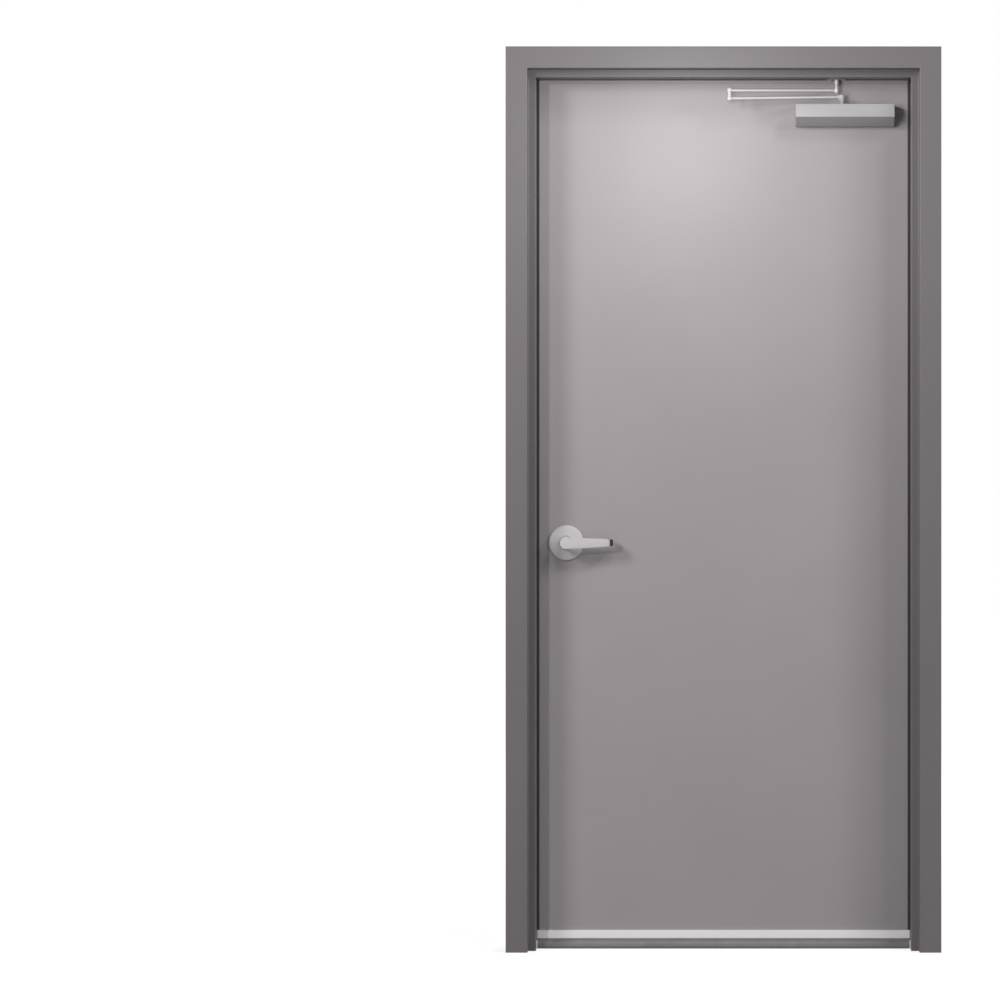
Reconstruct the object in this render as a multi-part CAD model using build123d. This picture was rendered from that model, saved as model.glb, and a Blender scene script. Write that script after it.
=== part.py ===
from build123d import *
import os

# Commercial hollow-metal door in its pressed steel frame, seen from the push side.
# Lengths are in millimetres and angles in degrees.
# X runs to the right along the wall, from the strike side to the hinge side.
# Y runs through the wall, from the push side to the pull side, and Z is up.
# Everything is drawn from the middle of the doorway and moved to the part's origin
# when it is written: the underside of the floor anchor in the hinge jamb.

# Doorway and frame section
DOORWAY_WIDTH = 914.4
DOORWAY_HEIGHT = 2062.0
FRAME_FACE = 50.8
FRAME_DEPTH = 146.05
FRAME_SHEET = 1.5
FRAME_BEND = 2.2
BACKBEND = 12.7
STOP_HEIGHT = 18.0
STOP_WIDTH = 57.15

# Leaf
LEAF_THICKNESS = 44.45
LEAF_SKIN = 1.2
LEAF_BEND = 1.6
EDGE_GAP = 5.0
UNDERCUT = 19.0
CHANNEL_LEG = 19.0
CHANNEL_SHEET = 1.5
CORE_CLEARANCE = 0.3

# Butt hinges
HINGE_HEIGHT = 114.3
HINGE_LEAF = 3.4
HINGE_SETBACK = 7.0
KNUCKLES = 5
KNUCKLE_GAP = 0.4
BARREL_RADIUS = 7.95
PIN_RADIUS = 4.5
RUNNING_FIT = 0.05
PIN_STANDOFF = 19.0
PIN_TIP = 4.5
TOP_HINGE_DROP = 244.0
BOTTOM_HINGE_RISE = 305.0
HINGE_PLATE_SHEET = 4.8
HINGE_PLATE_MARGIN = 50.0
HINGE_PLATE_WIDTH = 38.0
HINGE_PLATE_FOOT = 14.0
RECESS_CLEARANCE = 0.3

# Floor anchors
ANCHOR_SHEET = 2.0
ANCHOR_RISE = 76.0
ANCHOR_REACH = 52.0
ANCHOR_HOLE = 10.3
ANCHOR_HOLE_PITCH = 24.0

# Lever set, strike and latch
BACKSET = 82.4
LEVER_HEIGHT = 954.6
ROSE_RADIUS = 41.35
ROSE_THICKNESS = 10.0
ROSE_EDGE = 3.0
ROSE_BEVEL = 2.2
ROSE_RING = 5.0
NECK_RADIUS = 15.75
TURN_CLEARANCE = 0.3
LEVER_STANDOFF = 44.0
NECK_CLEARANCE = 1.0
STEM_RADIUS = 11.0
GRIP_DEPTH = 13.0
GRIP_LENGTH = 103.4
GRIP_HUB_HEIGHT = 27.2
GRIP_TIP_HEIGHT = 18.5
GRIP_TOP_FALL = 3.0
GRIP_DROP = 1.2
GRIP_EDGE = 2.4
TAIL_DEPTH = 9.0
TAIL_SHOWS = 7.2
TAIL_HEIGHT = 15.8
TAIL_SETBACK = 5.0
TAIL_REACH = 19.0
TAIL_EDGE = 1.5
SPINDLE_SIDE = 9.5
SPINDLE_SOCKET = 20.0
CROSS_BORE_RADIUS = 27.0
CASE_CLEARANCE = 0.3
LATCH_TUBE_RADIUS = 11.0
LATCH_WALL = 1.5
LATCH_PLATE_HEIGHT = 57.15
LATCH_PLATE_WIDTH = 28.6
LATCH_PLATE_SHEET = 2.4
BOLT_BEVEL = 40.0
STRIKE_HEIGHT = 123.8
STRIKE_WIDTH = 31.75
STRIKE_SHEET = 1.9
STRIKE_LIP = 22.0
STRIKE_HOLE_HEIGHT = 44.0
STRIKE_HOLE_WIDTH = 22.0
STRIKE_BOX_DEPTH = 22.0
STRIKE_BOX_SHEET = 1.0

# Seal on the stop and sweep on the leaf
SEAL_THICKNESS = 4.46
SEAL_SHOWS = 6.0
HEAD_SEAL_SHOWS = 1.5
SEAL_HIDDEN = 11.0
SEAL_FOOT = 52.0
SEAT_CLEARANCE = 0.3
SWEEP_HEIGHT = 19.0
SWEEP_THICKNESS = 4.0
SWEEP_BOTTOM = 24.5
SWEEP_LIP_THICKNESS = 4.6
SWEEP_WALL = 1.2
BULB_RADIUS = 9.3
BULB_OFFSET = 7.4
FLOOR_CLEARANCE = 0.4

# Closer, placed from the leaf's top and hinge edge and from the head's soffit
CLOSER_DROP = 73.8
CLOSER_INSET = 51.4
CLOSER_LENGTH = 231.6
CLOSER_HEIGHT = 50.0
CLOSER_PROJECTION = 53.0
CLOSER_RIDGE_RISE = 19.6
CLOSER_UPPER_LEAN = 2.5
CLOSER_LOWER_SLOPE = 38.0
CLOSER_PLATE_SHEET = 2.5
CLOSER_PLATE_MARGIN = 4.0
CLOSER_EDGE = 1.2
PINION_INSET = 123.1
PINION_STANDOFF = 25.0
PINION_RADIUS = 5.0
PINION_DEPTH = 22.0
STUB_RADIUS = 2.6
STUB_HEIGHT = 5.6
STUB_SOCKET = 5.0
PINION_COLLAR_RADIUS = 9.0
PINION_COLLAR_HEIGHT = 1.0
BRACKET_OFFSET = 12.7
BRACKET_STANDOFF = 24.0
BRACKET_LENGTH = 48.6
BRACKET_DEPTH = 36.0
BRACKET_SHEET = 2.5
POST_RADIUS = 2.6
POST_COLLAR_RADIUS = 4.8
POST_COLLAR_HEIGHT = 9.0
POST_TAPER = 3.5
KEEPER_RADIUS = 3.7
KEEPER_HEIGHT = 1.8
ARM_REACH = 251.3
ELBOW_STANDOFF = 60.0
ROD_RADIUS = 2.9
FOREARM_DROP = 27.2
FOREARM_FALL = 3.3
ROD_SPACING = 18.9
MAIN_ARM_FALL = 3.1
EYE_RADIUS = 4.8
EYE_ABOVE = 3.8
EYE_BELOW = 4.6
HUB_TOP_RADIUS = 10.3
HUB_TOP_OFFSET = 4.5
HUB_FOOT_RADIUS = 3.4
ELBOW_END = 6.0
ELBOW_RADIUS = 6.2
ELBOW_BAND = 3.2
ELBOW_WAIST = 4.2
ELBOW_EDGE = 1.0
ELBOW_SPLIT = 0.6

# Places worked out from the sizes above
OPENING_EDGE = DOORWAY_WIDTH / 2
FRAME_EDGE = OPENING_EDGE + FRAME_FACE
LEAF_PULL = FRAME_DEPTH
LEAF_PUSH = LEAF_PULL - LEAF_THICKNESS
LEAF_MIDDLE = (LEAF_PUSH + LEAF_PULL) / 2
LEAF_EDGE = OPENING_EDGE - EDGE_GAP
LEAF_TOP = DOORWAY_HEIGHT - EDGE_GAP
STOP_BACK = LEAF_PUSH - SEAL_THICKNESS - SEAT_CLEARANCE
STOP_FRONT = STOP_BACK - STOP_WIDTH
STOP_EDGE = OPENING_EDGE - STOP_HEIGHT
HEAD_SOFFIT = DOORWAY_HEIGHT - STOP_HEIGHT
LEVER_X = -LEAF_EDGE + BACKSET
PIN_X = OPENING_EDGE - EDGE_GAP / 2
PIN_Y = LEAF_PULL + PIN_STANDOFF
HINGE_CENTRES = {
    "top": LEAF_TOP - TOP_HINGE_DROP,
    "middle": (LEAF_TOP - TOP_HINGE_DROP + BOTTOM_HINGE_RISE) / 2,
    "bottom": BOTTOM_HINGE_RISE,
}
CLOSER_TOP = LEAF_TOP - CLOSER_DROP
CLOSER_BOTTOM = CLOSER_TOP - CLOSER_HEIGHT
CLOSER_RIGHT = LEAF_EDGE - CLOSER_INSET
CLOSER_LEFT = CLOSER_RIGHT - CLOSER_LENGTH
PINION_X = CLOSER_RIGHT - PINION_INSET
BRACKET_X = PINION_X - BRACKET_OFFSET
ELBOW_X = BRACKET_X - ARM_REACH
FOREARM_AT_BRACKET = HEAD_SOFFIT - FOREARM_DROP
FOREARM_AT_ELBOW = FOREARM_AT_BRACKET - FOREARM_FALL
MAIN_ARM_AT_PINION = FOREARM_AT_BRACKET - ROD_SPACING
MAIN_ARM_AT_ELBOW = MAIN_ARM_AT_PINION - MAIN_ARM_FALL
PINION_Y = LEAF_PUSH - PINION_STANDOFF
BRACKET_Y = LEAF_PUSH - BRACKET_STANDOFF
ELBOW_Y = LEAF_PUSH - ELBOW_STANDOFF
ANCHOR_X = STOP_EDGE + FRAME_SHEET + ANCHOR_REACH / 2 + ANCHOR_SHEET
ANCHOR_Y = (STOP_FRONT + STOP_BACK) / 2
ORIGIN = Location((-ANCHOR_X, -ANCHOR_Y, 0))


def block(x, y, z):
    """A box between two values on each axis."""
    (x0, x1), (y0, y1), (z0, z1) = sorted(x), sorted(y), sorted(z)
    return Pos((x0 + x1) / 2, (y0 + y1) / 2, (z0 + z1) / 2) * Box(x1 - x0, y1 - y0, z1 - z0)


def rod(start, end, radius):
    """A round bar between two points."""
    run = Vector(*end) - Vector(*start)
    return Plane(start, z_dir=run) * Pos(0, 0, run.length / 2) * Cylinder(radius, run.length)


def upright(x, y, z, radius, height):
    """A cylinder that stands on height z."""
    return Pos(x, y, z + height / 2) * Cylinder(radius, height)


def taper(x, y, z, low_radius, high_radius, height):
    """A cone that stands on height z."""
    return Pos(x, y, z + height / 2) * Cone(low_radius, high_radius, height)


def across(x, z, radius, y):
    """A cylinder along Y between two depths."""
    y0, y1 = sorted(y)
    return Pos(x, (y0 + y1) / 2, z) * Rot(90, 0, 0) * Cylinder(radius, y1 - y0)


def along(y, z, radius, x):
    """A cylinder along X between two places."""
    x0, x1 = sorted(x)
    return Pos((x0 + x1) / 2, y, z) * Rot(0, 90, 0) * Cylinder(radius, x1 - x0)


def write(name, shape):
    """One named piece, moved to the part's origin and written as STEP."""
    export_step(ORIGIN * shape, f"parts/{name}.step")


# Frame

def frame_section():
    """The folded sheet's section: u outwards from the rabbet, v through the wall."""
    t = FRAME_SHEET
    outer = [
        (FRAME_FACE, BACKBEND),
        (FRAME_FACE, 0),
        (0, 0),
        (0, STOP_FRONT),
        (-STOP_HEIGHT, STOP_FRONT),
        (-STOP_HEIGHT, STOP_BACK),
        (0, STOP_BACK),
        (0, FRAME_DEPTH),
        (FRAME_FACE, FRAME_DEPTH),
        (FRAME_FACE, FRAME_DEPTH - BACKBEND),
    ]
    inner = [
        (FRAME_FACE - t, FRAME_DEPTH - BACKBEND),
        (FRAME_FACE - t, FRAME_DEPTH - t),
        (t, FRAME_DEPTH - t),
        (t, STOP_BACK - t),
        (-STOP_HEIGHT + t, STOP_BACK - t),
        (-STOP_HEIGHT + t, STOP_FRONT + t),
        (t, STOP_FRONT + t),
        (t, t),
        (FRAME_FACE - t, t),
        (FRAME_FACE - t, BACKBEND),
    ]
    section = make_face(Polyline(*outer, *inner, close=True))
    corners = {Vector(u, v) for u, v in outer[1:-1]}
    bends = [p for p in section.vertices() if any((Vector(p) - c).length < 0.01 for c in corners)]
    return fillet(bends, FRAME_BEND)


def jamb_blank():
    """The hinge-side jamb without cut-outs, mitred to the head at 45 degrees."""
    plan = Pos(OPENING_EDGE, 0, 0) * frame_section()
    bar = extrude(plan, DOORWAY_HEIGHT + FRAME_FACE, dir=(0, 0, 1))
    mitre = Plane((OPENING_EDGE, 0, DOORWAY_HEIGHT), z_dir=(-1, 0, 1))
    return split(bar, bisect_by=mitre, keep=Keep.BOTTOM)


def head_bar():
    """The head, mitred at both ends."""
    upright_plane = Plane(origin=(-FRAME_EDGE, 0, DOORWAY_HEIGHT), x_dir=(0, 0, 1), z_dir=(-1, 0, 0))
    bar = extrude(upright_plane * frame_section(), 2 * FRAME_EDGE, dir=(1, 0, 0))
    right = Plane((OPENING_EDGE, 0, DOORWAY_HEIGHT), z_dir=(-1, 0, 1))
    left = Plane((-OPENING_EDGE, 0, DOORWAY_HEIGHT), z_dir=(1, 0, 1))
    bar = split(bar, bisect_by=right, keep=Keep.TOP)
    return split(bar, bisect_by=left, keep=Keep.TOP)


def hinge_face(side):
    """The edge that a hinge leaf is let into: the jamb's rabbet (1) or the leaf's edge (-1)."""
    return PIN_X + side * EDGE_GAP / 2


def hinge_blocks(side, depth, grow):
    """A box for each hinge, from the edge's face to a depth, larger than the hinge leaf by grow."""
    face = hinge_face(side)
    half = HINGE_HEIGHT / 2 + grow
    return [
        block(
            (face, face + side * depth),
            (LEAF_PUSH + HINGE_SETBACK - grow, LEAF_PULL),
            (z - half, z + half),
        )
        for z in HINGE_CENTRES.values()
    ]


def hinge_recesses(side):
    """The room for the hinge leaves, open towards the other edge and the pull side."""
    depth = HINGE_LEAF + RECESS_CLEARANCE
    shift = (-side * RECESS_CLEARANCE, RECESS_CLEARANCE, 0)
    boxes = hinge_blocks(side, depth, RECESS_CLEARANCE)
    return [solid for box in boxes for solid in (box, Pos(*shift) * box)]


def hinge_trays(side, sheet):
    """The pressed pockets of one sheet, before the recesses are cut from them."""
    grow = RECESS_CLEARANCE + sheet
    return hinge_blocks(side, HINGE_LEAF + grow, grow)


def hinge_plates(side, sheet, low_y, high_y):
    """A welded plate behind each pocket, with a foot at each end that reaches the sheet."""
    near = hinge_face(side) + side * sheet
    back = near + side * (HINGE_LEAF + RECESS_CLEARANCE)
    far = back + side * HINGE_PLATE_SHEET
    half = HINGE_HEIGHT / 2 + HINGE_PLATE_MARGIN
    plates = []
    for z in HINGE_CENTRES.values():
        plate = block((back, far), (low_y, high_y), (z - half, z + half))
        for end in (-1, 1):
            foot = (z + end * half, z + end * (half - HINGE_PLATE_FOOT))
            plate += block((near, back), (low_y, high_y), foot)
        plates.append(plate)
    return Compound(plates)


def hinge_jamb():
    return jamb_blank() + hinge_trays(1, FRAME_SHEET) - hinge_recesses(1)


def strike_reach():
    """How far the strike's lip goes towards the pull face."""
    return (LEAF_MIDDLE - STRIKE_WIDTH / 2, LEAF_MIDDLE + STRIKE_WIDTH / 2)


def strike_jamb():
    window = block(
        (-OPENING_EDGE + 1, -OPENING_EDGE - STRIKE_SHEET),
        (strike_reach()[0] - RECESS_CLEARANCE, strike_reach()[1] + RECESS_CLEARANCE),
        (
            LEVER_HEIGHT - STRIKE_HEIGHT / 2 - RECESS_CLEARANCE,
            LEVER_HEIGHT + STRIKE_HEIGHT / 2 + RECESS_CLEARANCE,
        ),
    )
    lip = block(
        (-OPENING_EDGE + 1, -OPENING_EDGE - STRIKE_SHEET),
        (LEAF_MIDDLE, FRAME_DEPTH + 1),
        (
            LEVER_HEIGHT - STRIKE_LIP - RECESS_CLEARANCE,
            LEVER_HEIGHT + STRIKE_LIP + RECESS_CLEARANCE,
        ),
    )
    return mirror(jamb_blank(), about=Plane.YZ) - window - lip


def strike_plate():
    """Strike flush in the rabbet, with a lip that curls onto the pull face."""
    x0, x1 = -OPENING_EDGE, -OPENING_EDGE - STRIKE_SHEET
    low, high = LEVER_HEIGHT - STRIKE_HEIGHT / 2, LEVER_HEIGHT + STRIKE_HEIGHT / 2
    plate = block((x0, x1), strike_reach(), (low, high))
    lip = block(
        (x0, x1), (LEAF_MIDDLE, FRAME_DEPTH), (LEVER_HEIGHT - STRIKE_LIP, LEVER_HEIGHT + STRIKE_LIP)
    )
    hole = block(
        (x0 + 1, x1 - 1),
        (LEAF_MIDDLE - STRIKE_HOLE_WIDTH / 2, LEAF_MIDDLE + STRIKE_HOLE_WIDTH / 2),
        (LEVER_HEIGHT - STRIKE_HOLE_HEIGHT / 2, LEVER_HEIGHT + STRIKE_HOLE_HEIGHT / 2),
    )
    return plate + lip - hole


def strike_box():
    """Dust box welded behind the strike."""
    wall = STRIKE_BOX_SHEET
    x0 = -OPENING_EDGE - STRIKE_SHEET
    x1 = x0 - STRIKE_BOX_DEPTH
    y = (LEAF_MIDDLE - STRIKE_WIDTH / 2, LEAF_MIDDLE + STRIKE_WIDTH / 2)
    z = (LEVER_HEIGHT - STRIKE_HEIGHT / 2, LEVER_HEIGHT + STRIKE_HEIGHT / 2)
    room = block((x0, x1 + wall), (y[0] + wall, y[1] - wall), (z[0] + wall, z[1] - wall))
    return block((x0, x1), y, z) - room


def jamb_hinge_plates():
    high = FRAME_DEPTH - FRAME_SHEET
    return hinge_plates(1, FRAME_SHEET, high - HINGE_PLATE_WIDTH, high)


def floor_anchor(side):
    """Angle clip inside the stop, with two holes in its foot for floor bolts."""
    wall = STOP_EDGE + FRAME_SHEET
    y = (STOP_FRONT + FRAME_SHEET, STOP_BACK - FRAME_SHEET)
    leg = block((side * wall, side * (wall + ANCHOR_SHEET)), y, (0, ANCHOR_RISE))
    far = wall + ANCHOR_SHEET + ANCHOR_REACH
    foot = block((side * wall, side * far), y, (0, ANCHOR_SHEET))
    holes = [
        upright(side * ANCHOR_X + shift, ANCHOR_Y, -1, ANCHOR_HOLE / 2, ANCHOR_SHEET + 2)
        for shift in (-ANCHOR_HOLE_PITCH / 2, ANCHOR_HOLE_PITCH / 2)
    ]
    return leg + foot - holes


def seal_section(shows):
    """Foam bulb seal: a strip with a round nose, u inwards from the stop's edge."""
    radius = SEAL_THICKNESS / 2
    nose = shows - radius
    outline = Line((nose, 0), (-SEAL_HIDDEN, 0))
    outline += Line((-SEAL_HIDDEN, 0), (-SEAL_HIDDEN, SEAL_THICKNESS))
    outline += Line((-SEAL_HIDDEN, SEAL_THICKNESS), (nose, SEAL_THICKNESS))
    outline += ThreePointArc((nose, SEAL_THICKNESS), (shows, radius), (nose, 0))
    return make_face(outline)


def seal_upright(side):
    """The seal on one jamb's stop, from above the sweep to the head's seal."""
    plan = Pos(STOP_EDGE, STOP_BACK, SEAL_FOOT) * Rot(0, 180, 0) * seal_section(SEAL_SHOWS)
    bar = extrude(plan, HEAD_SOFFIT - HEAD_SEAL_SHOWS - SEAL_FOOT, dir=(0, 0, 1))
    return bar if side > 0 else mirror(bar, about=Plane.YZ)


def seal_head():
    """The seal across the head's stop, over the ends of the two uprights."""
    reach = STOP_EDGE + SEAL_HIDDEN
    plane = Plane(origin=(-reach, STOP_BACK, HEAD_SOFFIT), x_dir=(0, 0, -1), z_dir=(1, 0, 0))
    return extrude(plane * seal_section(HEAD_SEAL_SHOWS), 2 * reach, dir=(1, 0, 0))


# Leaf

def skin(outer, sign):
    """One pressed face sheet, with half of each vertical edge folded from it."""
    t = LEAF_SKIN
    middle = outer + sign * LEAF_THICKNESS / 2
    outline = Polyline(
        (-LEAF_EDGE, middle),
        (-LEAF_EDGE, outer),
        (LEAF_EDGE, outer),
        (LEAF_EDGE, middle),
        (LEAF_EDGE - t, middle),
        (LEAF_EDGE - t, outer + sign * t),
        (-LEAF_EDGE + t, outer + sign * t),
        (-LEAF_EDGE + t, middle),
        close=True,
    )
    section = make_face(outline)
    bends = [p for p in section.vertices() if abs(p.Y - outer) < 0.01]
    section = fillet(bends, LEAF_BEND)
    sheet = extrude(Pos(0, 0, UNDERCUT) * section, LEAF_TOP - UNDERCUT, dir=(0, 0, 1))
    bore = across(LEVER_X, LEVER_HEIGHT, CROSS_BORE_RADIUS, (outer - 2 * t, outer + 2 * t))
    own_half = block((0, LEAF_EDGE), (outer, middle), (UNDERCUT, LEAF_TOP))
    sheet += [tray & own_half for tray in hinge_trays(-1, LEAF_SKIN)]
    return sheet - bore - latch_recess(0) - hinge_recesses(-1)


def latch_recess(grow):
    """The pocket for the latch's face plate in the strike-side edge."""
    half_height = LATCH_PLATE_HEIGHT / 2 + grow
    half_width = LATCH_PLATE_WIDTH / 2 + grow
    return block(
        (-LEAF_EDGE - 1, -LEAF_EDGE + LATCH_PLATE_SHEET + grow),
        (LEAF_MIDDLE - half_width, LEAF_MIDDLE + half_width),
        (LEVER_HEIGHT - half_height, LEVER_HEIGHT + half_height),
    )


def leaf_inside():
    """Depths between the two skins."""
    return (LEAF_PUSH + LEAF_SKIN, LEAF_PULL - LEAF_SKIN)


def edge_channel(edge, inwards):
    """Channel that closes the leaf's top or bottom, its legs reaching to the edge."""
    x = (-LEAF_EDGE + LEAF_SKIN, LEAF_EDGE - LEAF_SKIN)
    y = leaf_inside()
    t = CHANNEL_SHEET
    web = edge + inwards * CHANNEL_LEG
    room = block(x, (y[0] + t, y[1] - t), (edge, web - inwards * t))
    return block(x, y, (edge, web)) - room


def leaf_hinge_plates():
    high = leaf_inside()[1]
    return hinge_plates(-1, LEAF_SKIN, high - HINGE_PLATE_WIDTH, high)


def honeycomb_core():
    """The core that fills the leaf, cut away for the lock, the latch and the plates."""
    x1 = LEAF_EDGE - LEAF_SKIN
    z = (UNDERCUT + CHANNEL_LEG, LEAF_TOP - CHANNEL_LEG)
    core = block((-x1, x1), leaf_inside(), z)
    grow = CORE_CLEARANCE
    core -= across(LEVER_X, LEVER_HEIGHT, CROSS_BORE_RADIUS + grow, (0, FRAME_DEPTH))
    core -= along(LEAF_MIDDLE, LEVER_HEIGHT, LATCH_TUBE_RADIUS + grow, (-LEAF_EDGE, LEVER_X))
    core -= latch_recess(grow)
    half = HINGE_HEIGHT / 2 + HINGE_PLATE_MARGIN + grow
    depth = HINGE_LEAF + RECESS_CLEARANCE + HINGE_PLATE_SHEET + grow
    for centre in HINGE_CENTRES.values():
        core -= block(
            (x1 + 1, x1 - depth),
            (leaf_inside()[1] - HINGE_PLATE_WIDTH - grow, LEAF_PULL),
            (centre - half, centre + half),
        )
    return core


# Hinges

def knuckle_heights(z, first):
    """The spans of every second knuckle of a hinge at height z, from knuckle first."""
    pitch = HINGE_HEIGHT / KNUCKLES
    low = z - HINGE_HEIGHT / 2
    return [
        (low + k * pitch + KNUCKLE_GAP / 2, low + (k + 1) * pitch - KNUCKLE_GAP / 2)
        for k in range(first, KNUCKLES, 2)
    ]


def hinge_half(z, side):
    """One hinge leaf with its knuckles: side 1 on the jamb, side -1 on the leaf."""
    own = knuckle_heights(z, 0 if side > 0 else 1)
    other = knuckle_heights(z, 1 if side > 0 else 0)
    inner = hinge_face(side)
    shape = block(
        (inner, inner + side * HINGE_LEAF),
        (LEAF_PUSH + HINGE_SETBACK, PIN_Y),
        (z - HINGE_HEIGHT / 2, z + HINGE_HEIGHT / 2),
    )
    relief = BARREL_RADIUS + KNUCKLE_GAP
    for low, high in other:
        shape -= upright(PIN_X, PIN_Y, low - KNUCKLE_GAP, relief, high - low + 2 * KNUCKLE_GAP)
    for low, high in own:
        shape += upright(PIN_X, PIN_Y, low, BARREL_RADIUS, high - low)
    for low, high in own:
        shape -= upright(PIN_X, PIN_Y, low - 1, PIN_RADIUS + RUNNING_FIT, high - low + 2)
    return shape


def hinge_pin(z):
    """Pin with a domed button at the top and a plug at the bottom."""
    low = z - HINGE_HEIGHT / 2
    top = z + HINGE_HEIGHT / 2
    pin = upright(PIN_X, PIN_Y, low, PIN_RADIUS, HINGE_HEIGHT)
    button = upright(PIN_X, PIN_Y, top, BARREL_RADIUS, PIN_TIP)
    button = chamfer(button.faces().sort_by(Axis.Z)[-1].edges(), PIN_TIP / 2)
    plug = upright(PIN_X, PIN_Y, low - PIN_TIP, BARREL_RADIUS, PIN_TIP)
    plug = chamfer(plug.faces().sort_by(Axis.Z)[0].edges(), PIN_TIP / 2)
    return pin + button + plug


# Lock and levers

def lever_face(side):
    """The leaf's push face (side -1) or pull face (side 1)."""
    return LEAF_PUSH if side < 0 else LEAF_PULL


def rose(side):
    """Round rose, a shallow dish that rises to a ring round the lever's neck."""
    face = lever_face(side)
    bore = NECK_RADIUS + TURN_CLEARANCE
    outline = Polyline(
        (bore, 0),
        (ROSE_RADIUS, 0),
        (ROSE_RADIUS, ROSE_EDGE),
        (ROSE_RADIUS - ROSE_BEVEL, ROSE_EDGE + ROSE_BEVEL),
        (bore + ROSE_RING, ROSE_THICKNESS),
        (bore, ROSE_THICKNESS),
        close=True,
    )
    plane = Plane(origin=(LEVER_X, face, LEVER_HEIGHT), x_dir=(1, 0, 0), z_dir=(0, 0, side))
    return revolve(plane * make_face(outline), Axis((LEVER_X, face, LEVER_HEIGHT), (0, 1, 0)))


def grip_outline():
    """The grip seen from the front: a half-round hub that narrows to the tip."""
    radius = GRIP_HUB_HEIGHT / 2
    top = radius - GRIP_DROP
    tip_top = top - GRIP_TOP_FALL
    tip_low = tip_top - GRIP_TIP_HEIGHT
    sides = Polyline(
        (0, top), (GRIP_LENGTH, tip_top), (GRIP_LENGTH, tip_low), (0, top - 2 * radius)
    )
    return sides + ThreePointArc((0, top - 2 * radius), (-radius, top - radius), (0, top))


def lever(side):
    """Neck and tapered flat grip, with its front edges and its end bevelled."""
    face = lever_face(side)
    back = face + side * (LEVER_STANDOFF - GRIP_DEPTH / 2)
    front = face + side * (LEVER_STANDOFF + GRIP_DEPTH / 2)
    plane = Plane(origin=(LEVER_X, back, LEVER_HEIGHT), x_dir=(1, 0, 0), z_dir=(0, -1, 0))
    grip = extrude(plane * make_face(grip_outline()), GRIP_DEPTH, dir=(0, side, 0))
    rim = grip.faces().sort_by(Axis.Y)[0 if side < 0 else -1].edges()
    grip = chamfer(rim, GRIP_EDGE)
    neck = across(LEVER_X, LEVER_HEIGHT, NECK_RADIUS, (face + side * NECK_CLEARANCE, back))
    stem = across(LEVER_X, LEVER_HEIGHT, STEM_RADIUS, (back, front - side * GRIP_EDGE))
    return grip + neck + stem - spindle_room(side) - lever_tail_box(side)


def lever_tail_box(side):
    """The place of the end piece, let into the grip's tip and back."""
    face = lever_face(side)
    near = face + side * (LEVER_STANDOFF - GRIP_DEPTH / 2 - TAIL_REACH)
    far = face + side * (LEVER_STANDOFF + GRIP_DEPTH / 2 - TAIL_SETBACK)
    middle = LEVER_HEIGHT - GRIP_DROP + GRIP_HUB_HEIGHT / 2 - GRIP_TOP_FALL - GRIP_TIP_HEIGHT / 2
    return block(
        (LEVER_X + GRIP_LENGTH - TAIL_DEPTH, LEVER_X + GRIP_LENGTH + TAIL_SHOWS),
        (near, far),
        (middle - TAIL_HEIGHT / 2, middle + TAIL_HEIGHT / 2),
    )


def lever_tail(side):
    """Black end piece that turns back towards the leaf."""
    tail = lever_tail_box(side)
    return chamfer(tail.edges().filter_by(Axis.Y).group_by(Axis.X)[-1], TAIL_EDGE)


def spindle_room(side):
    """The square socket in a lever's neck, from the leaf's face."""
    half = SPINDLE_SIDE / 2
    face = lever_face(side)
    return block(
        (LEVER_X - half, LEVER_X + half),
        (face, face + side * SPINDLE_SOCKET),
        (LEVER_HEIGHT - half, LEVER_HEIGHT + half),
    )


def spindle():
    """Square bar through the leaf, its ends in the two levers."""
    half = SPINDLE_SIDE / 2
    return block(
        (LEVER_X - half, LEVER_X + half),
        (LEAF_PUSH - SPINDLE_SOCKET, LEAF_PULL + SPINDLE_SOCKET),
        (LEVER_HEIGHT - half, LEVER_HEIGHT + half),
    )


def lock_case():
    """Round lock body in the cross bore, open along its middle for the spindle."""
    case = across(LEVER_X, LEVER_HEIGHT, CROSS_BORE_RADIUS - CASE_CLEARANCE, (LEAF_PUSH, LEAF_PULL))
    room = across(LEVER_X, LEVER_HEIGHT, SPINDLE_SIDE * 0.8, (0, 2 * FRAME_DEPTH))
    reach = (-LEAF_EDGE, LEVER_X - CROSS_BORE_RADIUS / 2 + CASE_CLEARANCE)
    return case - room - along(LEAF_MIDDLE, LEVER_HEIGHT, LATCH_TUBE_RADIUS + CASE_CLEARANCE, reach)


def latch_face():
    """Face plate in the leaf's edge, with the tube that holds the bolt."""
    plate = latch_recess(0) & block((-LEAF_EDGE, 0), (0, FRAME_DEPTH), (0, LEAF_TOP))
    tube = along(
        LEAF_MIDDLE,
        LEVER_HEIGHT,
        LATCH_TUBE_RADIUS,
        (-LEAF_EDGE + LATCH_PLATE_SHEET, LEVER_X - CROSS_BORE_RADIUS / 2),
    )
    inside = along(
        LEAF_MIDDLE,
        LEVER_HEIGHT,
        LATCH_TUBE_RADIUS - LATCH_WALL,
        (-LEAF_EDGE - 1, LEVER_X - CROSS_BORE_RADIUS / 2 - LATCH_WALL),
    )
    return plate + tube - inside


def latch_bolt():
    """Spring bolt, drawn in level with the face plate, bevelled on its closing side."""
    radius = LATCH_TUBE_RADIUS - LATCH_WALL - RUNNING_FIT
    back = LEVER_X - CROSS_BORE_RADIUS / 2 - LATCH_WALL
    bolt = along(LEAF_MIDDLE, LEVER_HEIGHT, radius, (-LEAF_EDGE, back))
    bevel = Plane((-LEAF_EDGE, LEAF_MIDDLE, LEVER_HEIGHT)) * Rot(0, 0, BOLT_BEVEL)
    return bolt - bevel * Pos(-radius, radius, 0) * Box(2 * radius, 2 * radius, 4 * radius)


# Sweep

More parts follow.
